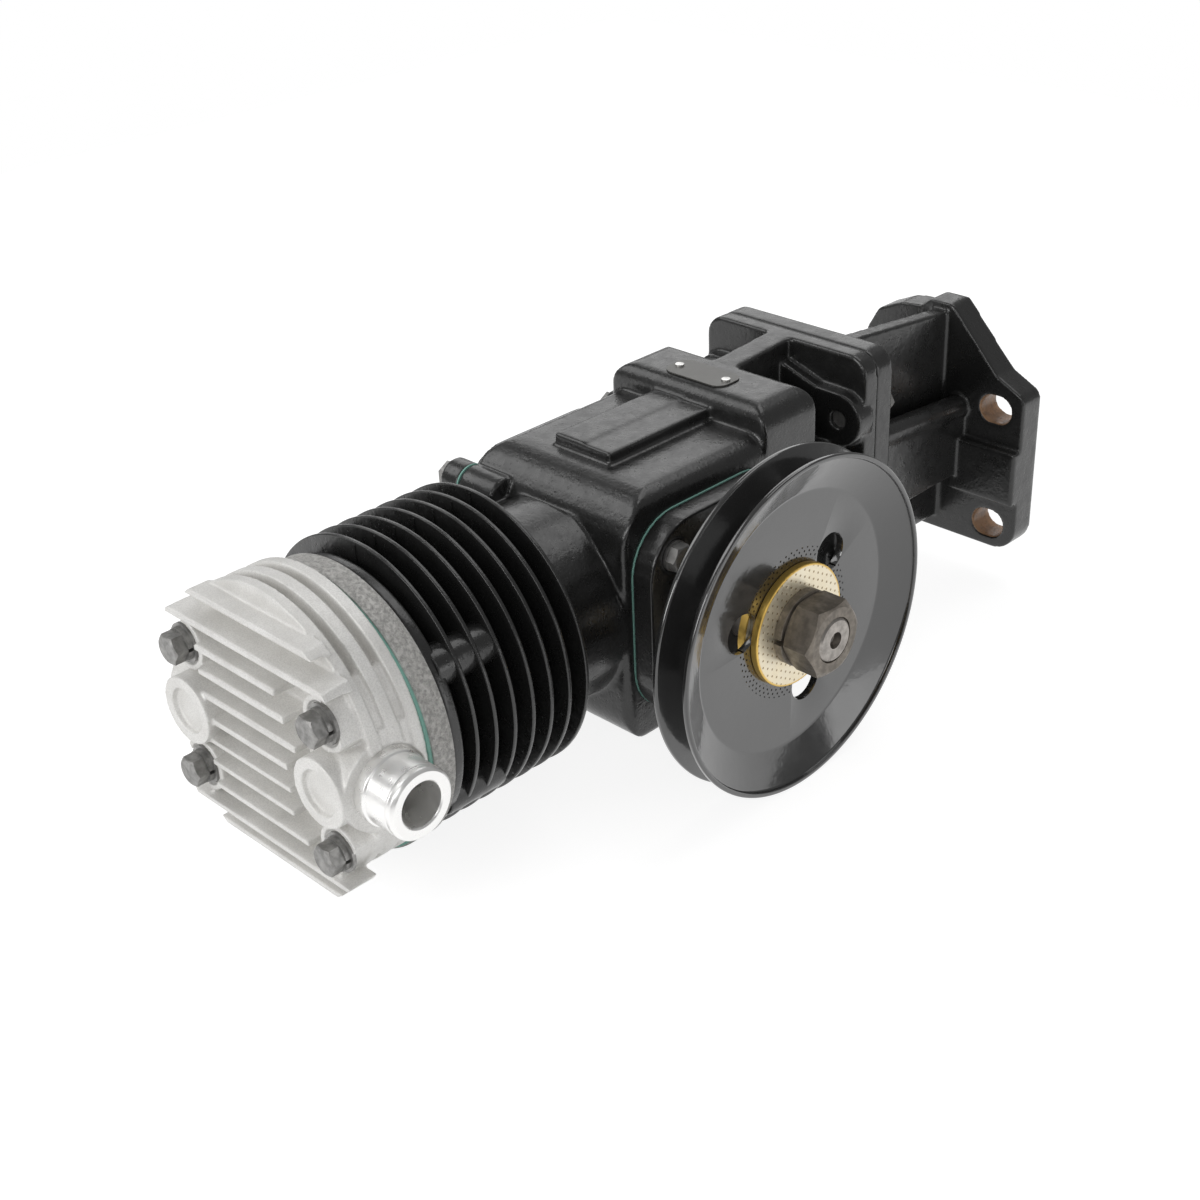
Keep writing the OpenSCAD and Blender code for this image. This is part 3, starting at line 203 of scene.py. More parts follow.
def place(bm, name):
    """New object from a bmesh drawn in millimetres from the crank's axis."""
    bmesh.ops.remove_doubles(bm, verts=bm.verts, dist=0.001)
    bmesh.ops.recalc_face_normals(bm, faces=bm.faces)
    mesh = bpy.data.meshes.new(name)
    bm.to_mesh(mesh)
    bm.free()
    mesh.transform(Matrix.Translation(CRANK) @ Matrix.Scale(MM, 4))
    return link(name, mesh)


def dress(piece, body, material, slot, *nodes, sharp=30):
    """Gives a piece its shading, finish and body, and hides the CAD nodes it stands for."""
    piece.data.shade_smooth()
    piece.data.set_sharp_from_angle(angle=radians(sharp))
    piece.data.materials.clear()
    piece.data.materials.append(material)
    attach(piece, body)
    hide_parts(*nodes)
    return piece


def apply_modifiers(piece):
    """Turns a piece's modifiers into its mesh."""
    seen = piece.evaluated_get(bpy.context.evaluated_depsgraph_get())
    mesh = bpy.data.meshes.new_from_object(seen)
    piece.modifiers.clear()
    piece.data = mesh


def softened(outline, radius, steps=3):
    """Closed outline with its corners rounded; corners on the turning axis stay."""
    soft = []
    for i, corner in enumerate(outline):
        if corner[0] == 0:
            soft.append(Vector(corner))
            continue
        at = Vector(corner)
        to_before = Vector(outline[i - 1]) - at
        to_after = Vector(outline[(i + 1) % len(outline)]) - at
        reach = min(radius, to_before.length * 0.45, to_after.length * 0.45)
        start = at + to_before.normalized() * reach
        end = at + to_after.normalized() * reach
        for step in range(steps + 1):
            t = step / steps
            soft.append(start * (1 - t) ** 2 + at * 2 * t * (1 - t) + end * t**2)
    return soft


def turned(bm, outline_at, axis, centre, steps, sweep=TAU, start=0.0):
    """Turns an outline of (radius, distance along the axis) about a line along X or Y."""
    rings = []
    whole = sweep == TAU
    for step in range(steps if whole else steps + 1):
        angle = start + sweep * step / steps
        ring = []
        for r, along in outline_at(angle):
            if axis == "X":
                point = (along, centre[0] + r * cos(angle), centre[1] + r * sin(angle))
            else:
                point = (centre[0] + r * cos(angle), along, centre[1] + r * sin(angle))
            ring.append(bm.verts.new(point))
        rings.append(ring)
    count = len(rings[0])
    for i in range(steps):
        ring, after = rings[i], rings[(i + 1) % len(rings)]
        for j in range(count):
            k = (j + 1) % count
            bm.faces.new((ring[j], ring[k], after[k], after[j]))
    if not whole:
        bm.faces.new(rings[0])
        bm.faces.new(rings[-1])


def lathe(bm, outline, axis="X", centre=(0, 0), steps=192, **options):
    """Turns one fixed outline."""
    turned(bm, lambda angle: outline, axis, centre, steps, **options)


def hexagon_r(angle, across_flats):
    """Distance from a hexagon's middle to its side, in the direction of an angle."""
    sixth = TAU / 6
    return across_flats / 2 / cos((angle % sixth) - sixth / 2)


def hex_outline(across_flats, low, high, bore_r, chamfer, both_ends=False):
    """Outline of a chamfered nut or bolt head as a function of the angle."""
    face_r = across_flats / 2 - chamfer
    slope = tan(radians(30)) * (1 if high > low else -1)
    lift = 0.01 if high > low else -0.01

    def outline_at(angle):
        r = hexagon_r(angle, across_flats)
        drop = (r - face_r) * slope
        under = drop if both_ends else 0.0
        under_r = face_r if both_ends else r - 0.01
        return [
            (bore_r, high),
            (face_r, high),
            (r, high - drop),
            (r, low + under + lift),
            (under_r, low),
            (bore_r, low),
        ]

    return outline_at


# Node trees


class Surface:
    """Small helper around one material's node tree."""

    def __init__(self, name):
        self.material = bpy.data.materials.new(name)
        self.material.use_nodes = True
        self.tree = self.material.node_tree
        self.shader = self.tree.nodes["Principled BSDF"]
        coordinates = self.tree.nodes.new("ShaderNodeTexCoord")
        self.place = coordinates.outputs["Object"]

    def node(self, kind, **settings):
        made = self.tree.nodes.new(kind)
        for name, value in settings.items():
            setattr(made, name, value)
        return made

    def feed(self, socket, value):
        """Links a socket's source, or sets its value."""
        if isinstance(value, bpy.types.NodeSocket):
            self.tree.links.new(value, socket)
        else:
            socket.default_value = value

    def set(self, **values):
        """Sets the shader's sockets; underscores stand for blanks."""
        for name, value in values.items():
            self.feed(self.shader.inputs[name.replace("_", " ")], value)

    def maths(self, operation, first, second=0.0):
        made = self.node("ShaderNodeMath", operation=operation)
        self.feed(made.inputs[0], first)
        self.feed(made.inputs[1], second)
        return made.outputs[0]

    def noise(self, size_mm, detail=3.0, roughness=0.55):
        made = self.node("ShaderNodeTexNoise")
        self.feed(made.inputs["Vector"], self.place)
        made.inputs["Scale"].default_value = 1 / (size_mm * MM)
        made.inputs["Detail"].default_value = detail
        made.inputs["Roughness"].default_value = roughness
        return made.outputs["Fac"]

    def cells(self, size_mm):
        made = self.node("ShaderNodeTexVoronoi")
        self.feed(made.inputs["Vector"], self.place)
        made.inputs["Scale"].default_value = 1 / (size_mm * MM)
        return made.outputs["Distance"]

    def spread(self, value, low, high, out_low, out_high):
        """Maps a range of a value to another range, with soft ends."""
        made = self.node("ShaderNodeMapRange", interpolation_type="SMOOTHSTEP")
        for name, number in zip(
            ("From Min", "From Max", "To Min", "To Max"), (low, high, out_low, out_high)
        ):
            made.inputs[name].default_value = number
        self.feed(made.inputs["Value"], value)
        return made.outputs["Result"]

    def blend(self, share, first, second):
        """Mixes two colours."""
        made = self.node("ShaderNodeMix", data_type="RGBA")
        self.feed(made.inputs["Factor"], share)
        self.feed(made.inputs["A"], first)
        self.feed(made.inputs["B"], second)
        return made.outputs["Result"]

    def bump(self, height, depth_mm, before=None):
        """Bump of this depth, laid over an earlier one."""
        made = self.node("ShaderNodeBump")
        made.inputs["Distance"].default_value = depth_mm * MM
        self.feed(made.inputs["Height"], height)
        if before:
            self.feed(made.inputs["Normal"], before)
        return made.outputs["Normal"]

    def away_from(self, centre):
        """Offsets along X, Y and Z from a point in the row frame."""
        made = self.node("ShaderNodeVectorMath", operation="SUBTRACT")
        self.feed(made.inputs[0], self.place)
        made.inputs[1].default_value = centre
        parts = self.node("ShaderNodeSeparateXYZ")
        self.feed(parts.inputs[0], made.outputs[0])
        return parts.outputs

    def radius(self, first, second):
        """Length of two offsets."""
        return self.maths(
            "SQRT",
            self.maths("ADD", self.maths("MULTIPLY", first, first), self.maths("MULTIPLY", second, second)),
        )


def grey(value):
    return (value, value, value, 1)


def slot_walls(s):
    """Share of bare metal on the walls of the bracket's slots."""
    offsets = s.away_from((0, 0, 0))
    along = s.maths("SUBTRACT", s.maths("ABSOLUTE", offsets["X"]), SLOT_X * MM)
    past = s.maths("MAXIMUM", s.maths("SUBTRACT", s.maths("ABSOLUTE", along), SLOT_HALF_RUN * MM), 0.0)
    across = s.maths("SUBTRACT", s.maths("ABSOLUTE", offsets["Z"]), SLOT_Z * MM)
    reach = s.radius(past, across)
    inside = s.spread(reach, (SLOT_R + 0.2) * MM, (SLOT_R + 0.6) * MM, 1.0, 0.0)
    in_plate = s.spread(offsets["Y"], -PLATE_DEPTH * MM, (1 - PLATE_DEPTH) * MM, 0.0, 1.0)
    worn = s.spread(s.noise(5, 3), 0.3, 0.6, 0.55, 1.0)
    return s.maths("MULTIPLY", s.maths("MULTIPLY", inside, in_plate), worn)


def enamel(name, colour, shine, peel_mm, pit_depth, bare=None):
    """Semi-gloss black paint on a sand casting: orange peel, slow waves and small pits."""
    s = Surface(name)
    cloud = s.noise(26, 4)
    paint = s.blend(cloud, colour, tuple(c * 1.5 for c in colour[:3]) + (1,))
    metal = bare(s) if bare else 0.0
    s.set(
        Base_Color=s.blend(metal, paint, (0.44, 0.27, 0.16, 1)),
        Roughness=s.spread(s.noise(7, 4), 0.35, 0.7, shine, shine + 0.12),
        Coat_Weight=s.maths("SUBTRACT", 0.3, s.maths("MULTIPLY", metal, 0.3)),
        Coat_Roughness=0.14,
        Specular_IOR_Level=0.5,
    )
    waves = s.bump(s.noise(9, 2), 0.25)
    peel = s.bump(s.noise(peel_mm, 2), 0.12, waves)
    pits = s.spread(s.cells(2.6), 0.02, 0.3, 0.0, 1.0)
    s.set(Normal=s.bump(pits, pit_depth, peel), Coat_Normal=peel)
    return s.material


def blasted_aluminium():
    """Bead-blasted casting: fine matt grain with a few small pits and faint stains."""
    s = Surface("blasted_aluminium")
    cloud = s.spread(s.noise(18, 5), 0.3, 0.75, 0.0, 1.0)
    grain = s.noise(0.7, 2)
    tone = s.blend(cloud, (0.85, 0.842, 0.82, 1), (0.74, 0.73, 0.705, 1))
    s.set(
        Base_Color=s.blend(s.spread(grain, 0.35, 0.7, 0.0, 0.5), tone, (0.60, 0.59, 0.57, 1)),
        Metallic=0.3,
        Roughness=s.spread(s.noise(2.2, 3), 0.3, 0.7, 0.42, 0.58),
    )
    waves = s.bump(s.noise(6, 3), 0.18)
    fine = s.bump(grain, 0.16, waves)
    pits = s.spread(s.cells(4.5), 0.0, 0.16, 0.0, 1.0)
    s.set(Normal=s.bump(pits, 0.14, fine))
    return s.material


def turned_aluminium():
    """Bright machined aluminium with fine turning lines across the X axis."""
    s = Surface("turned_aluminium")
    offsets = s.away_from(tuple(CRANK))
    lines = s.maths("SINE", s.maths("MULTIPLY", offsets["X"], TAU / (1.3 * MM)))
    s.set(
        Base_Color=(0.95, 0.945, 0.93, 1),
        Metallic=0.85,
        Roughness=s.spread(s.noise(5, 4), 0.3, 0.7, 0.26, 0.36),
        Normal=s.bump(lines, 0.008),
    )
    return s.material


def gloss_black():
    """Black stoved paint on pressed steel, with the ring of small marks round the washer."""
    s = Surface("gloss_black")
    offsets = s.away_from(tuple(CRANK))
    radius = s.radius(offsets["Y"], offsets["Z"])
    angle = s.maths("ARCTAN2", offsets["Z"], offsets["Y"])
    around = s.maths("COSINE", s.maths("MULTIPLY", angle, DOTS_AROUND))
    across = s.maths("COSINE", s.maths("MULTIPLY", radius, TAU / (DOT_RING_STEP * MM)))
    dots = s.spread(s.maths("MULTIPLY", around, across), 0.6, 0.8, 0.0, 1.0)
    off = s.maths("ABSOLUTE", s.maths("SUBTRACT", radius, DOT_RING_R * MM))
    in_ring = s.spread(off, DOT_RING_HALF * 0.8 * MM, DOT_RING_HALF * MM, 1.0, 0.0)
    marks = s.maths("MULTIPLY", dots, in_ring)
    s.set(
        Base_Color=s.blend(marks, s.blend(s.noise(30, 3), grey(0.014), grey(0.022)), grey(0.002)),
        Roughness=s.spread(s.noise(12, 4), 0.3, 0.7, 0.12, 0.2),
        Coat_Weight=s.spread(marks, 0.0, 1.0, 0.8, 0.0),
        Coat_Roughness=0.07,
        Specular_IOR_Level=s.spread(marks, 0.0, 1.0, 0.8, 0.05),
    )
    peel = s.bump(s.noise(4, 2), 0.05)
    pressed = s.bump(s.maths("SUBTRACT", 1.0, marks), 0.2, peel)
    s.set(Normal=pressed, Coat_Normal=pressed)
    return s.material


def yellow_zinc():
    """Pale gold zinc plating with a three-way grid of small punched dots on its face."""
    s = Surface("yellow_zinc")
    offsets = s.away_from(tuple(CRANK))
    pitch = 4 * MM
    waves = []
    for turn in (0, 60, 120):
        run = s.maths(
            "ADD",
            s.maths("MULTIPLY", offsets["Y"], cos(radians(turn))),
            s.maths("MULTIPLY", offsets["Z"], sin(radians(turn))),
        )
        waves.append(s.maths("COSINE", s.maths("MULTIPLY", run, TAU / (pitch * sin(radians(60))))))
    grid = s.maths("ADD", s.maths("ADD", waves[0], waves[1]), waves[2])
    radius = s.radius(offsets["Y"], offsets["Z"])
    rim = s.spread(radius, (WASHER_R - 1.6) * MM, (WASHER_R - 0.6) * MM, 0.0, 1.0)
    on_face = s.maths("SUBTRACT", 1.0, rim)
    dots = s.maths("MULTIPLY", s.spread(grid, 1.9, 2.5, 0.0, 1.0), on_face)
    face = s.blend(s.noise(14, 4), (0.90, 0.78, 0.54, 1), (0.86, 0.80, 0.66, 1))
    tone = s.blend(rim, face, (0.80, 0.53, 0.13, 1))
    s.set(
        Base_Color=s.blend(s.maths("MULTIPLY", dots, 0.8), tone, (0.30, 0.20, 0.08, 1)),
        Metallic=0.75,
        Roughness=s.spread(s.noise(3, 4), 0.3, 0.7, 0.28, 0.42),
        Normal=s.bump(dots, -0.12, s.bump(s.noise(0.9, 2), 0.02)),
    )
    return s.material


def oiled_steel(name, colour, metallic, roughness, grain_mm=1.2, depth=0.04):
    """Blackened or bare steel with uneven tone and fine scratches."""
    s = Surface(name)
    cloud = s.spread(s.noise(5, 5), 0.3, 0.7, 0.0, 1.0)
    dark = tuple(c * 0.6 for c in colour[:3]) + (1,)
    s.set(
        Base_Color=s.blend(cloud, colour, dark),
        Metallic=metallic,
        Roughness=s.spread(s.noise(2.5, 4), 0.3, 0.7, roughness, roughness + 0.16),
        Normal=s.bump(s.noise(grain_mm, 3), depth),
    )
    return s.material


def rough_iron():
    """Dark grey cast plate with a coarse, sandy skin."""
    s = Surface("rough_iron")
    speck = s.spread(s.noise(2.0, 4, 0.7), 0.35, 0.7, 0.0, 1.0)
    s.set(
        Base_Color=s.blend(speck, (0.56, 0.55, 0.53, 1), (0.32, 0.314, 0.302, 1)),
        Metallic=0.3,
        Roughness=0.6,
        Normal=s.bump(speck, 0.45, s.bump(s.noise(5, 3), 0.4)),
    )
    return s.material


def gasket_paper():
    """Teal pressed fibre."""
    s = Surface("gasket_paper")
    s.set(
        Base_Color=s.blend(s.noise(3, 5, 0.7), (0.16, 0.40, 0.34, 1), (0.30, 0.50, 0.43, 1)),
        Roughness=0.8,
        Normal=s.bump(s.noise(0.6, 2), 0.05),
    )
    return s.material


def rubber():
    """Black seal rubber with a faint bloom."""
    s = Surface("seal_rubber")
    s.set(
        Base_Color=s.blend(s.noise(4, 4), (0.018, 0.018, 0.018, 1), (0.04, 0.04, 0.04, 1)),
        Roughness=s.spread(s.noise(1.5, 3), 0.3, 0.7, 0.5, 0.65),
        Normal=s.bump(s.noise(0.8, 2), 0.02),
    )
    return s.material


def plain_plate():
    """Blank satin plate, brushed along X."""
    s = Surface("satin_plate")
    stretched = s.node("ShaderNodeMapping")
    s.feed(stretched.inputs["Vector"], s.place)
    stretched.inputs["Scale"].default_value = (0.06, 1.0, 1.0)
    brushed = s.node("ShaderNodeTexNoise")
    s.feed(brushed.inputs["Vector"], stretched.outputs["Vector"])
    brushed.inputs["Scale"].default_value = 1 / (0.35 * MM)
    s.set(
        Base_Color=s.blend(s.noise(6, 3), (0.13, 0.128, 0.12, 1), (0.09, 0.088, 0.083, 1)),
        Metallic=0.6,
        Roughness=0.36,
        Normal=s.bump(brushed.outputs["Fac"], 0.02),
    )
    return s.material


# Pieces


def cad_copy(name, node):
    """Copy of a CAD node's mesh as a free object."""
    return link(name, frame["nodes"][node].data.copy())


def cut_off(piece, point_mm, normal):
    """Removes what lies on the normal's side of a plane and closes the cut."""
    bm = bmesh.new()
    bm.from_mesh(piece.data)
    bmesh.ops.remove_doubles(bm, verts=bm.verts, dist=0.002 * MM)
    cut = bmesh.ops.bisect_plane(
        bm,
        geom=bm.verts[:] + bm.edges[:] + bm.faces[:],
        plane_co=CRANK + Vector(point_mm) * MM,
        plane_no=normal,
        clear_outer=True,
    )
    rim = [e for e in cut["geom_cut"] if isinstance(e, bmesh.types.BMEdge)]
    bmesh.ops.triangle_fill(bm, edges=rim, use_beauty=True)
    bm.to_mesh(piece.data)
    bm.free()


def cast(piece, voxel_mm, steps):
    """Gives a piece the soft edges of a casting by a fine remesh and a little smoothing."""
    remesh = piece.modifiers.new("cast", "REMESH")
    remesh.mode = "VOXEL"
    remesh.voxel_size = voxel_mm * MM
    smooth = piece.modifiers.new("worn", "SMOOTH")
    smooth.iterations = steps
    apply_modifiers(piece)
    piece.data.calc_loop_triangles()
    triangles = len(piece.data.loop_triangles)
    if triangles > MOST_TRIANGLES:
        fewer = piece.modifiers.new("fewer", "DECIMATE")
        fewer.ratio = MOST_TRIANGLES / triangles
        apply_modifiers(piece)


def crankcase_casting(material):
    """Crankcase, neck, duct and rear flange, behind the last fin."""
    piece = cad_copy("crankcase_casting", "crankcase")
    cut_off(piece, (0, CASE_CUT_Y, 0), (0, -1, 0))
    cast(piece, CASE_VOXEL, CASE_STEPS)
    return dress(piece, "compressor", material, "black_enamel", "crankcase", sharp=180)


def cylinder_fins(material):
    """Finned cylinder with its top flange, the bolt bosses and the mould's seam on each fin."""
    end_y = LAST_FIN_Y + FIN_T
    barrel = [
        (BORE_R, DECK_Y),
        (FLANGE_R, DECK_Y),
        (FLANGE_R, DECK_Y + FLANGE_T),
        (BARREL_R, DECK_Y + FLANGE_T),
        (BARREL_R, end_y),
        (NECK_R, end_y),
        (NECK_R - JOIN_TAPER, end_y + JOIN_L),
        (BORE_R, end_y + JOIN_L),
    ]
    bm = bmesh.new()
    lathe(bm, softened(barrel, 2.2, 5), axis="Y", steps=192)
    for i in range(FIN_COUNT):
        y = DECK_Y + FIN_START + i * FIN_PITCH
        root_r = BARREL_R - FIN_ROOT
        fin = [(root_r, y), (FIN_R, y), (FIN_R, y + FIN_T), (root_r, y + FIN_T)]
        lathe(bm, softened(fin, FIN_EDGE, 4), axis="Y", centre=RIM_CENTRE, steps=192)
        seam = bmesh.ops.create_cube(bm, size=1)["verts"]
        sized = Matrix.Diagonal((SEAM_W, FIN_T / 2 + SEAM_H, FIN_R - BARREL_R, 1))
        moved = Matrix.Translation((RIM_CENTRE[0], y + FIN_T / 4 - SEAM_H / 2, (FIN_R + BARREL_R) / 2))
        bmesh.ops.transform(bm, matrix=moved @ sized, verts=seam)
    for x in (-HEAD_BOLT_X, HEAD_BOLT_X):
        for z in (-HEAD_BOLT_Z, HEAD_BOLT_Z):
            boss = [
                (0, DECK_Y + FLANGE_T / 2),
                (BOLT_BOSS_R, DECK_Y + FLANGE_T / 2),
                (BOLT_BOSS_R, DECK_Y + BOLT_BOSS_L),
                (0, DECK_Y + BOLT_BOSS_L),
            ]
            lathe(bm, softened(boss, 1.5), axis="Y", centre=(x, z), steps=48)
    piece = place(bm, "cylinder_fins")
    return dress(piece, "compressor", material, "black_enamel", "crankcase")


def head_casting(material):
    """Cylinder head without its machined spigot."""
    piece = cad_copy("head_casting", "cylinder_head")
    cut_off(piece, (SPIGOT_CUT, 0, 0), (1, 0, 0))
    cast(piece, HEAD_VOXEL, HEAD_STEPS)
    return dress(piece, "compressor", material, "bare_aluminium", "cylinder_head", sharp=180)


def head_spigot(material):
    """Machined air spigot with a fine groove near its end."""
    outline = [
        (SPIGOT_BORE_R, SPIGOT_START),
        (SPIGOT_ROOT_R, SPIGOT_START),
        (SPIGOT_ROOT_R, SPIGOT_CUT + 0.5),
        (SPIGOT_R, SPIGOT_CUT + 1.2),
        (SPIGOT_R, SPIGOT_GROOVE),
        (SPIGOT_R - 0.5, SPIGOT_GROOVE + 0.3),
        (SPIGOT_R - 0.5, SPIGOT_GROOVE + 0.8),
        (SPIGOT_R, SPIGOT_GROOVE + 1.1),
        (SPIGOT_R, SPIGOT_END - 1.5),
        (SPIGOT_R - 1.5, SPIGOT_END),
        (SPIGOT_BORE_R + 0.8, SPIGOT_END),
        (SPIGOT_BORE_R, SPIGOT_END - 0.8),
    ]
    bm = bmesh.new()
    lathe(bm, softened(outline, 0.2, 2), centre=(SPIGOT_Y, 0), steps=160)
    piece = place(bm, "head_spigot")
    return dress(piece, "compressor", material, "bare_aluminium", "cylinder_head", sharp=20)


def cover_casting(name, node, material):
    """End cover with cast edges."""
    piece = cad_copy(name, node)
    cast(piece, COVER_VOXEL, COVER_STEPS)
    return dress(piece, "compressor", material, "black_enamel", node, sharp=180)


def bracket_casting(material):
    """Mounting bracket with cast edges."""
    piece = cad_copy("bracket_casting", "bracket")
    cast(piece, BRACKET_VOXEL, BRACKET_STEPS)
    return dress(piece, "compressor", material, "black_enamel", "bracket", sharp=180)


def pulley_pressing(material):
    """Pressed pulley with rolled edges and three holes in its web."""
    outline = [
        (SEAT_R, WEB_X),
        (WEB_R, WEB_X),
        (PULLEY_R - RIM_T, RIM_FRONT_X - RIM_LIP),
        (PULLEY_R - RIM_T, RIM_FRONT_X),
        (PULLEY_R, RIM_FRONT_X),
        (PULLEY_R, RIM_FRONT_X - RIM_T),
        (GROOVE_R, WEB_X - WEB_T / 2 + GROOVE_HALF),
        (GROOVE_R, WEB_X - WEB_T / 2 - GROOVE_HALF),
        (PULLEY_R, RIM_REAR_X + RIM_T),
        (PULLEY_R, RIM_REAR_X),
        (PULLEY_R - RIM_T, RIM_REAR_X),
        (WEB_R, WEB_X - WEB_T),
        (SEAT_R, WEB_X - WEB_T),
    ]
    bm = bmesh.new()
    lathe(bm, softened(outline, 0.9, 4), steps=288)
    piece = place(bm, "pulley_pressing")
    cutter_mesh = bmesh.new()
    for angle in HOLE_ANGLES:
        centre = (HOLE_PLACE_R * cos(radians(angle)), HOLE_PLACE_R * sin(radians(angle)))
        low, high = WEB_X - 2 * WEB_T, WEB_X + WEB_T
        bar = [(0, low), (HOLE_R, low), (HOLE_R, high), (0, high)]
        lathe(cutter_mesh, bar, centre=centre, steps=64)
    cutter = place(cutter_mesh, "cutter")
    cut = piece.modifiers.new("holes", "BOOLEAN")
    cut.operation = "DIFFERENCE"
    cut.object = cutter
    apply_modifiers(piece)
    bpy.data.objects.remove(cutter)
    rolled = piece.modifiers.new("rolled", "BEVEL")
    rolled.width = 0.5 * MM
    rolled.segments = 3
    rolled.limit_method = "ANGLE"
    rolled.angle_limit = radians(50)
    apply_modifiers(piece)
    return dress(piece, "crank", material, "gloss_black", "pulley")


def plain_washer(name, node, x, r, bore_r, t, material, slot):
    """Flat washer on the crankshaft with rounded edges."""
    outline = [(bore_r, x), (r, x), (r, x + t), (bore_r, x + t)]
    bm = bmesh.new()
    lathe(bm, softened(outline, 0.7, 4), steps=160)
    return dress(place(bm, name), "crank", material, slot, node)


def spring_washer(material):
    """Split washer under the crank nut, open towards the cylinder."""
    x = WEB_X + WASHER_T
    bore_r = THREAD_R + SPRING_PLAY
    outline = [(bore_r, x), (SPRING_R, x), (SPRING_R, x + SPRING_T), (bore_r, x + SPRING_T)]
    gap = SPRING_GAP / SPRING_R
    bm = bmesh.new()
    lathe(bm, softened(outline, 0.5), steps=96, sweep=TAU - gap, start=pi + gap / 2)
    return dress(place(bm, "spring_washer"), "crank", material, "black_steel", "crank_spring_washer")


def shaft_nut(material):
    """Chamfered hexagon nut on the crankshaft's end."""
    bm = bmesh.new()
    outline_at = hex_outline(
        NUT_AF, NUT_X, SHAFT_END - NUT_INSET, THREAD_R + THREAD_GAP, NUT_CHAMFER, both_ends=True
    )
    turned(bm, outline_at, "X", (0, 0), 144)
    return dress(place(bm, "shaft_nut"), "crank", material, "black_steel", "crank_nut", sharp=25)


def hex_bolts(name, node, places, across_flats, shank_r, low, high, end, axis, material):
    """Set of equal bolts with chamfered heads."""
    bm = bmesh.new()
    outline_at = hex_outline(across_flats, low, high, 0.0, BOLT_CHAMFER)
    for centre in places:
        turned(bm, outline_at, axis, centre, 96)
        lathe(bm, [(0, low), (shank_r, low), (shank_r, end), (0, end)], axis, centre, 32)
    return dress(place(bm, name), "compressor", material, "black_steel", node, sharp=25)


# Stage


def softbox(name, place_at, aim_at, size, strength):
    """Square lamp that faces a point."""
    data = bpy.data.lights.new(name, "AREA")
    data.shape = "SQUARE"
    data.size = size
    data.energy = strength * size**2 * pi
    made = bpy.data.objects.new(name, data)
    bpy.context.scene.collection.objects.link(made)
    made.location = place_at
    made.rotation_euler = (Vector(aim_at) - Vector(place_at)).to_track_quat("-Z", "Y").to_euler()
    return made


def white_stage_material():
    """White for the camera and in reflections, with the object's shadow kept faint."""
    s = Surface("white_stage")
    nodes, links = s.tree.nodes, s.tree.links
    plain = s.node("ShaderNodeBsdfDiffuse")
    plain.inputs["Color"].default_value = grey(0.8)
    shade = s.node("ShaderNodeBsdfDiffuse")
    shade.inputs["Color"].default_value = grey(STAGE_SHADE)
    glow = s.node("ShaderNodeEmission")
    glow.inputs["Strength"].default_value = STAGE_GLOW
    bright = s.node("ShaderNodeAddShader")
    links.new(shade.outputs[0], bright.inputs[0])
    links.new(glow.outputs[0], bright.inputs[1])
    path = s.node("ShaderNodeLightPath")
    seen = s.maths("MAXIMUM", path.outputs["Is Camera Ray"], path.outputs["Is Glossy Ray"])
    seen = s.maths("MAXIMUM", seen, path.outputs["Is Transmission Ray"])
    pick = s.node("ShaderNodeMixShader")
    links.new(seen, pick.inputs[0])
    links.new(plain.outputs[0], pick.inputs[1])
    links.new(bright.outputs[0], pick.inputs[2])
    links.new(pick.outputs[0], nodes["Material Output"].inputs["Surface"])
    return s.material


def build_stage():
    """Floor under the lowest point, the world and the lamps."""
    low, high = (Vector(corner) for corner in CAD_BOX)
    middle = (low + high) / 2
    bm = bmesh.new()
    bmesh.ops.create_grid(bm, x_segments=1, y_segments=1, size=FLOOR_HALF)
    mesh = bpy.data.meshes.new("floor")
    bm.to_mesh(mesh)
    bm.free()
    floor = link("floor", mesh)
    floor.location = (middle.x, middle.y, low.z - FLOOR_GAP)
    mesh.materials.append(white_stage_material())

    world = bpy.data.worlds.new("studio")
    bpy.context.scene.world = world
    world.use_nodes = True
    tree = world.node_tree
    back = tree.nodes["Background"]
    back.inputs["Color"].default_value = grey(1)
    path = tree.nodes.new("ShaderNodeLightPath")
    seen = tree.nodes.new("ShaderNodeMapRange")
    seen.inputs["To Min"].default_value = WORLD_LIGHT
    seen.inputs["To Max"].default_value = 1.0
    tree.links.new(path.outputs["Is Camera Ray"], seen.inputs["Value"])
    tree.links.new(seen.outputs["Result"], back.inputs["Strength"])

    for name, direction, distance, size, strength in SOFTBOXES:
        place_at = middle + Vector(direction).normalized() * distance
        softbox(name, place_at, middle, size, strength)


def build_camera():
    """Camera at the photograph's place."""
    data = bpy.data.cameras.new("camera")
    data.lens = LENS
    data.sensor_width = SENSOR
    made = bpy.data.objects.new("camera", data)
    bpy.context.scene.collection.objects.link(made)
    right, up = Vector(CAMERA_RIGHT), Vector(CAMERA_UP)
    turn = Matrix((right, up, right.cross(up))).transposed().to_4x4()
    made.matrix_world = Matrix.Translation(CAMERA_PLACE) @ turn
    bpy.context.scene.camera = made


def repaint(nodes, material, bevel_mm=0.25):
    """Finishes CAD nodes whose own shape stays, with a small break on their edges."""
    for name in nodes:
        node = frame["nodes"][name]
        node.data.materials.clear()
        node.data.materials.append(material)
        broken = node.modifiers.new("broken", "BEVEL")
        broken.width = bevel_mm * MM
        broken.segments = 2
        broken.limit_method = "ANGLE"
        broken.angle_limit = radians(40)


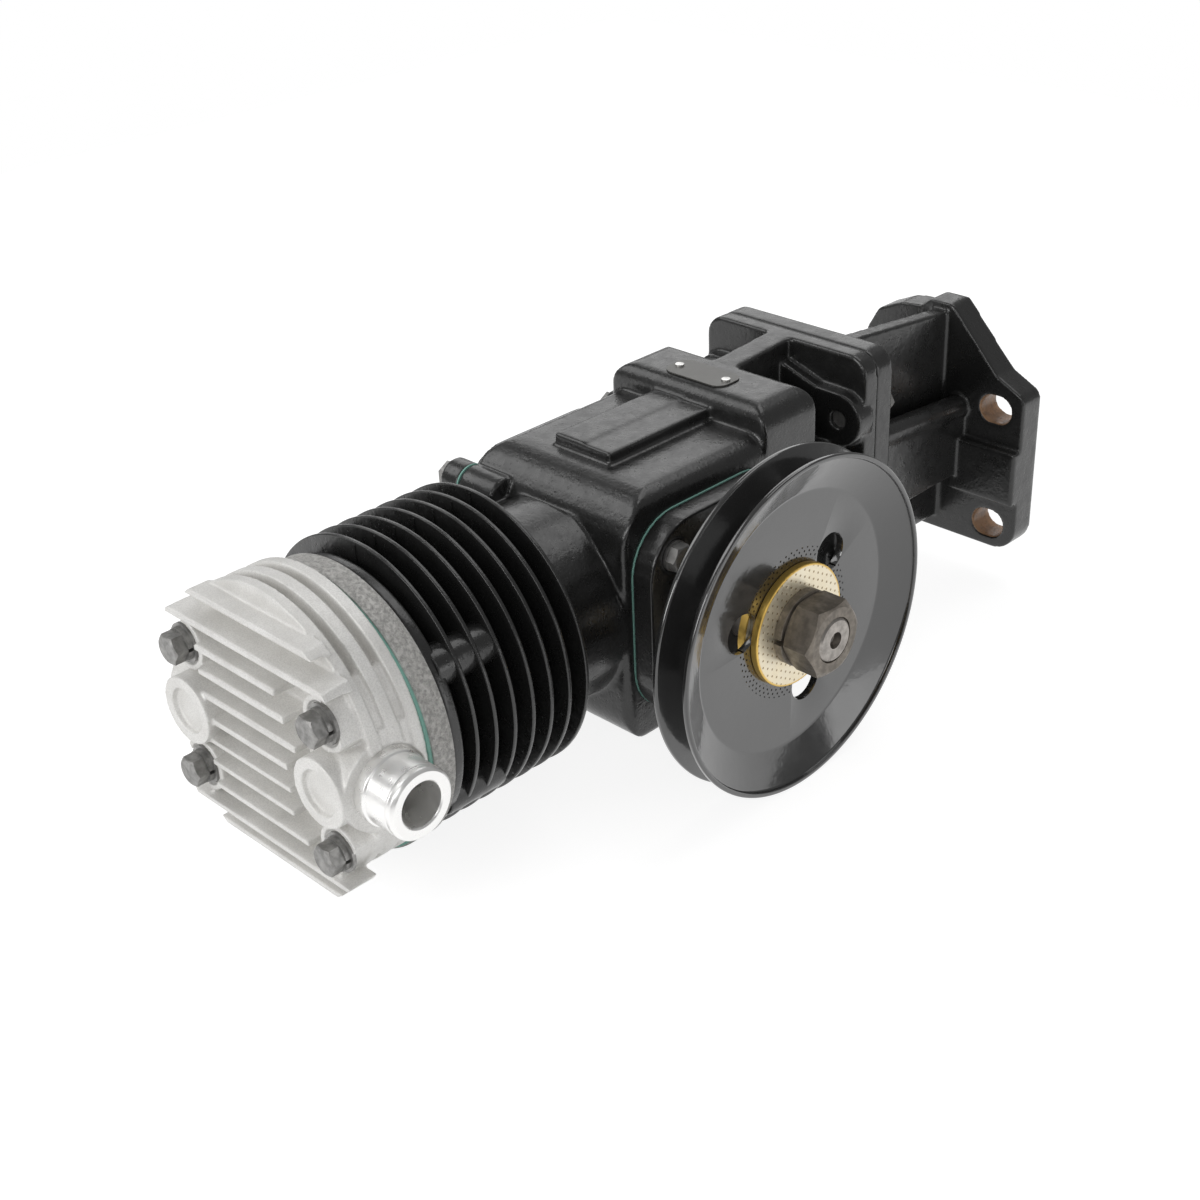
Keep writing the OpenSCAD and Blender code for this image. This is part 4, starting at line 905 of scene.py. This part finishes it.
def build():
    """Makes every piece and finishes the CAD nodes that stay."""
    castings = enamel("black_enamel", (0.011, 0.011, 0.0108, 1), 0.26, 1.8, 0.09)
    slotted = enamel("bracket_enamel", (0.011, 0.011, 0.0108, 1), 0.26, 1.8, 0.09, slot_walls)
    alloy = blasted_aluminium()
    bright = turned_aluminium()
    black_steel = oiled_steel("black_steel", (0.35, 0.345, 0.335, 1), 0.7, 0.36)
    nut_steel = oiled_steel("nut_steel", (0.25, 0.22, 0.185, 1), 0.6, 0.36)
    ground = oiled_steel("ground_steel", (0.42, 0.39, 0.36, 1), 0.9, 0.3, 0.6, 0.02)
    gold = yellow_zinc()

    crankcase_casting(castings)
    cylinder_fins(castings)
    head_casting(alloy)
    head_spigot(bright)
    cover_casting("front_cover_casting", "front_cover", castings)
    cover_casting("rear_cover_casting", "rear_cover", castings)
    bracket_casting(slotted)
    pulley_pressing(gloss_black())
    plain_washer("outer_washer", "outer_clamp_washer", WEB_X, WASHER_R, SEAT_R, WASHER_T, gold, "yellow_zinc")
    spring_washer(nut_steel)
    shaft_nut(nut_steel)

    head_places = [(x, z) for x in (-HEAD_BOLT_X, HEAD_BOLT_X) for z in (-HEAD_BOLT_Z, HEAD_BOLT_Z)]
    hex_bolts(
        "head_bolt_set", "head_bolts", head_places, BOLT_AF, BOLT_R,
        BOLT_UNDER_Y, BOLT_FACE_Y, BOLT_END_Y, "Y", black_steel,
    )
    cover_places = [(y, z) for y in (-COVER_BOLT, COVER_BOLT) for z in (-COVER_BOLT, COVER_BOLT)]
    hex_bolts(
        "cover_bolt_set", "front_cover_bolts", cover_places, COVER_BOLT_AF, COVER_BOLT_R,
        COVER_BOLT_UNDER_X, COVER_BOLT_FACE_X, COVER_BOLT_END_X, "X", black_steel,
    )

    repaint(["inner_clamp_washer"], gold)
    paper = gasket_paper()
    repaint(["head_gasket", "valve_plate_gasket", "front_cover_gasket", "rear_cover_gasket"], paper, 0.1)
    repaint(["valve_plate"], rough_iron(), 0.6)
    repaint(["head_spring_washers", "head_flat_washers"], black_steel)
    repaint(["front_cover_washers", "rear_cover_bolts", "rear_cover_washers"], black_steel)
    repaint(["bracket_bolts", "bracket_washers", "rod_bolts"], black_steel)
    repaint(["shaft_seal"], rubber())
    repaint(["nameplate"], plain_plate(), 0.2)
    repaint(["nameplate_rivets"], oiled_steel("bright_rivet", (0.85, 0.84, 0.82, 1), 0.9, 0.2), 0.3)
    repaint(["crankshaft", "oilway_plug", "pulley_key", "gudgeon_pin"], ground)
    repaint(["connecting_rod", "rod_cap"], ground)
    repaint(["bearing_outer_rings", "bearing_balls", "bearing_inner_rings"], ground, 0.2)
    repaint(["inlet_reed", "outlet_reed", "outlet_reed_stop"], ground, 0.1)
    bearing_metal = oiled_steel("bearing_metal", (0.60, 0.48, 0.28, 1), 0.9, 0.3)
    repaint(["big_end_shells", "small_end_bush"], bearing_metal, 0.05)
    repaint(["piston"], bright, 0.2)
    repaint(["compression_rings", "oil_ring"], black_steel, 0.1)


build()
build_stage()
build_camera()
bpy.context.scene.view_settings.view_transform = "Standard"
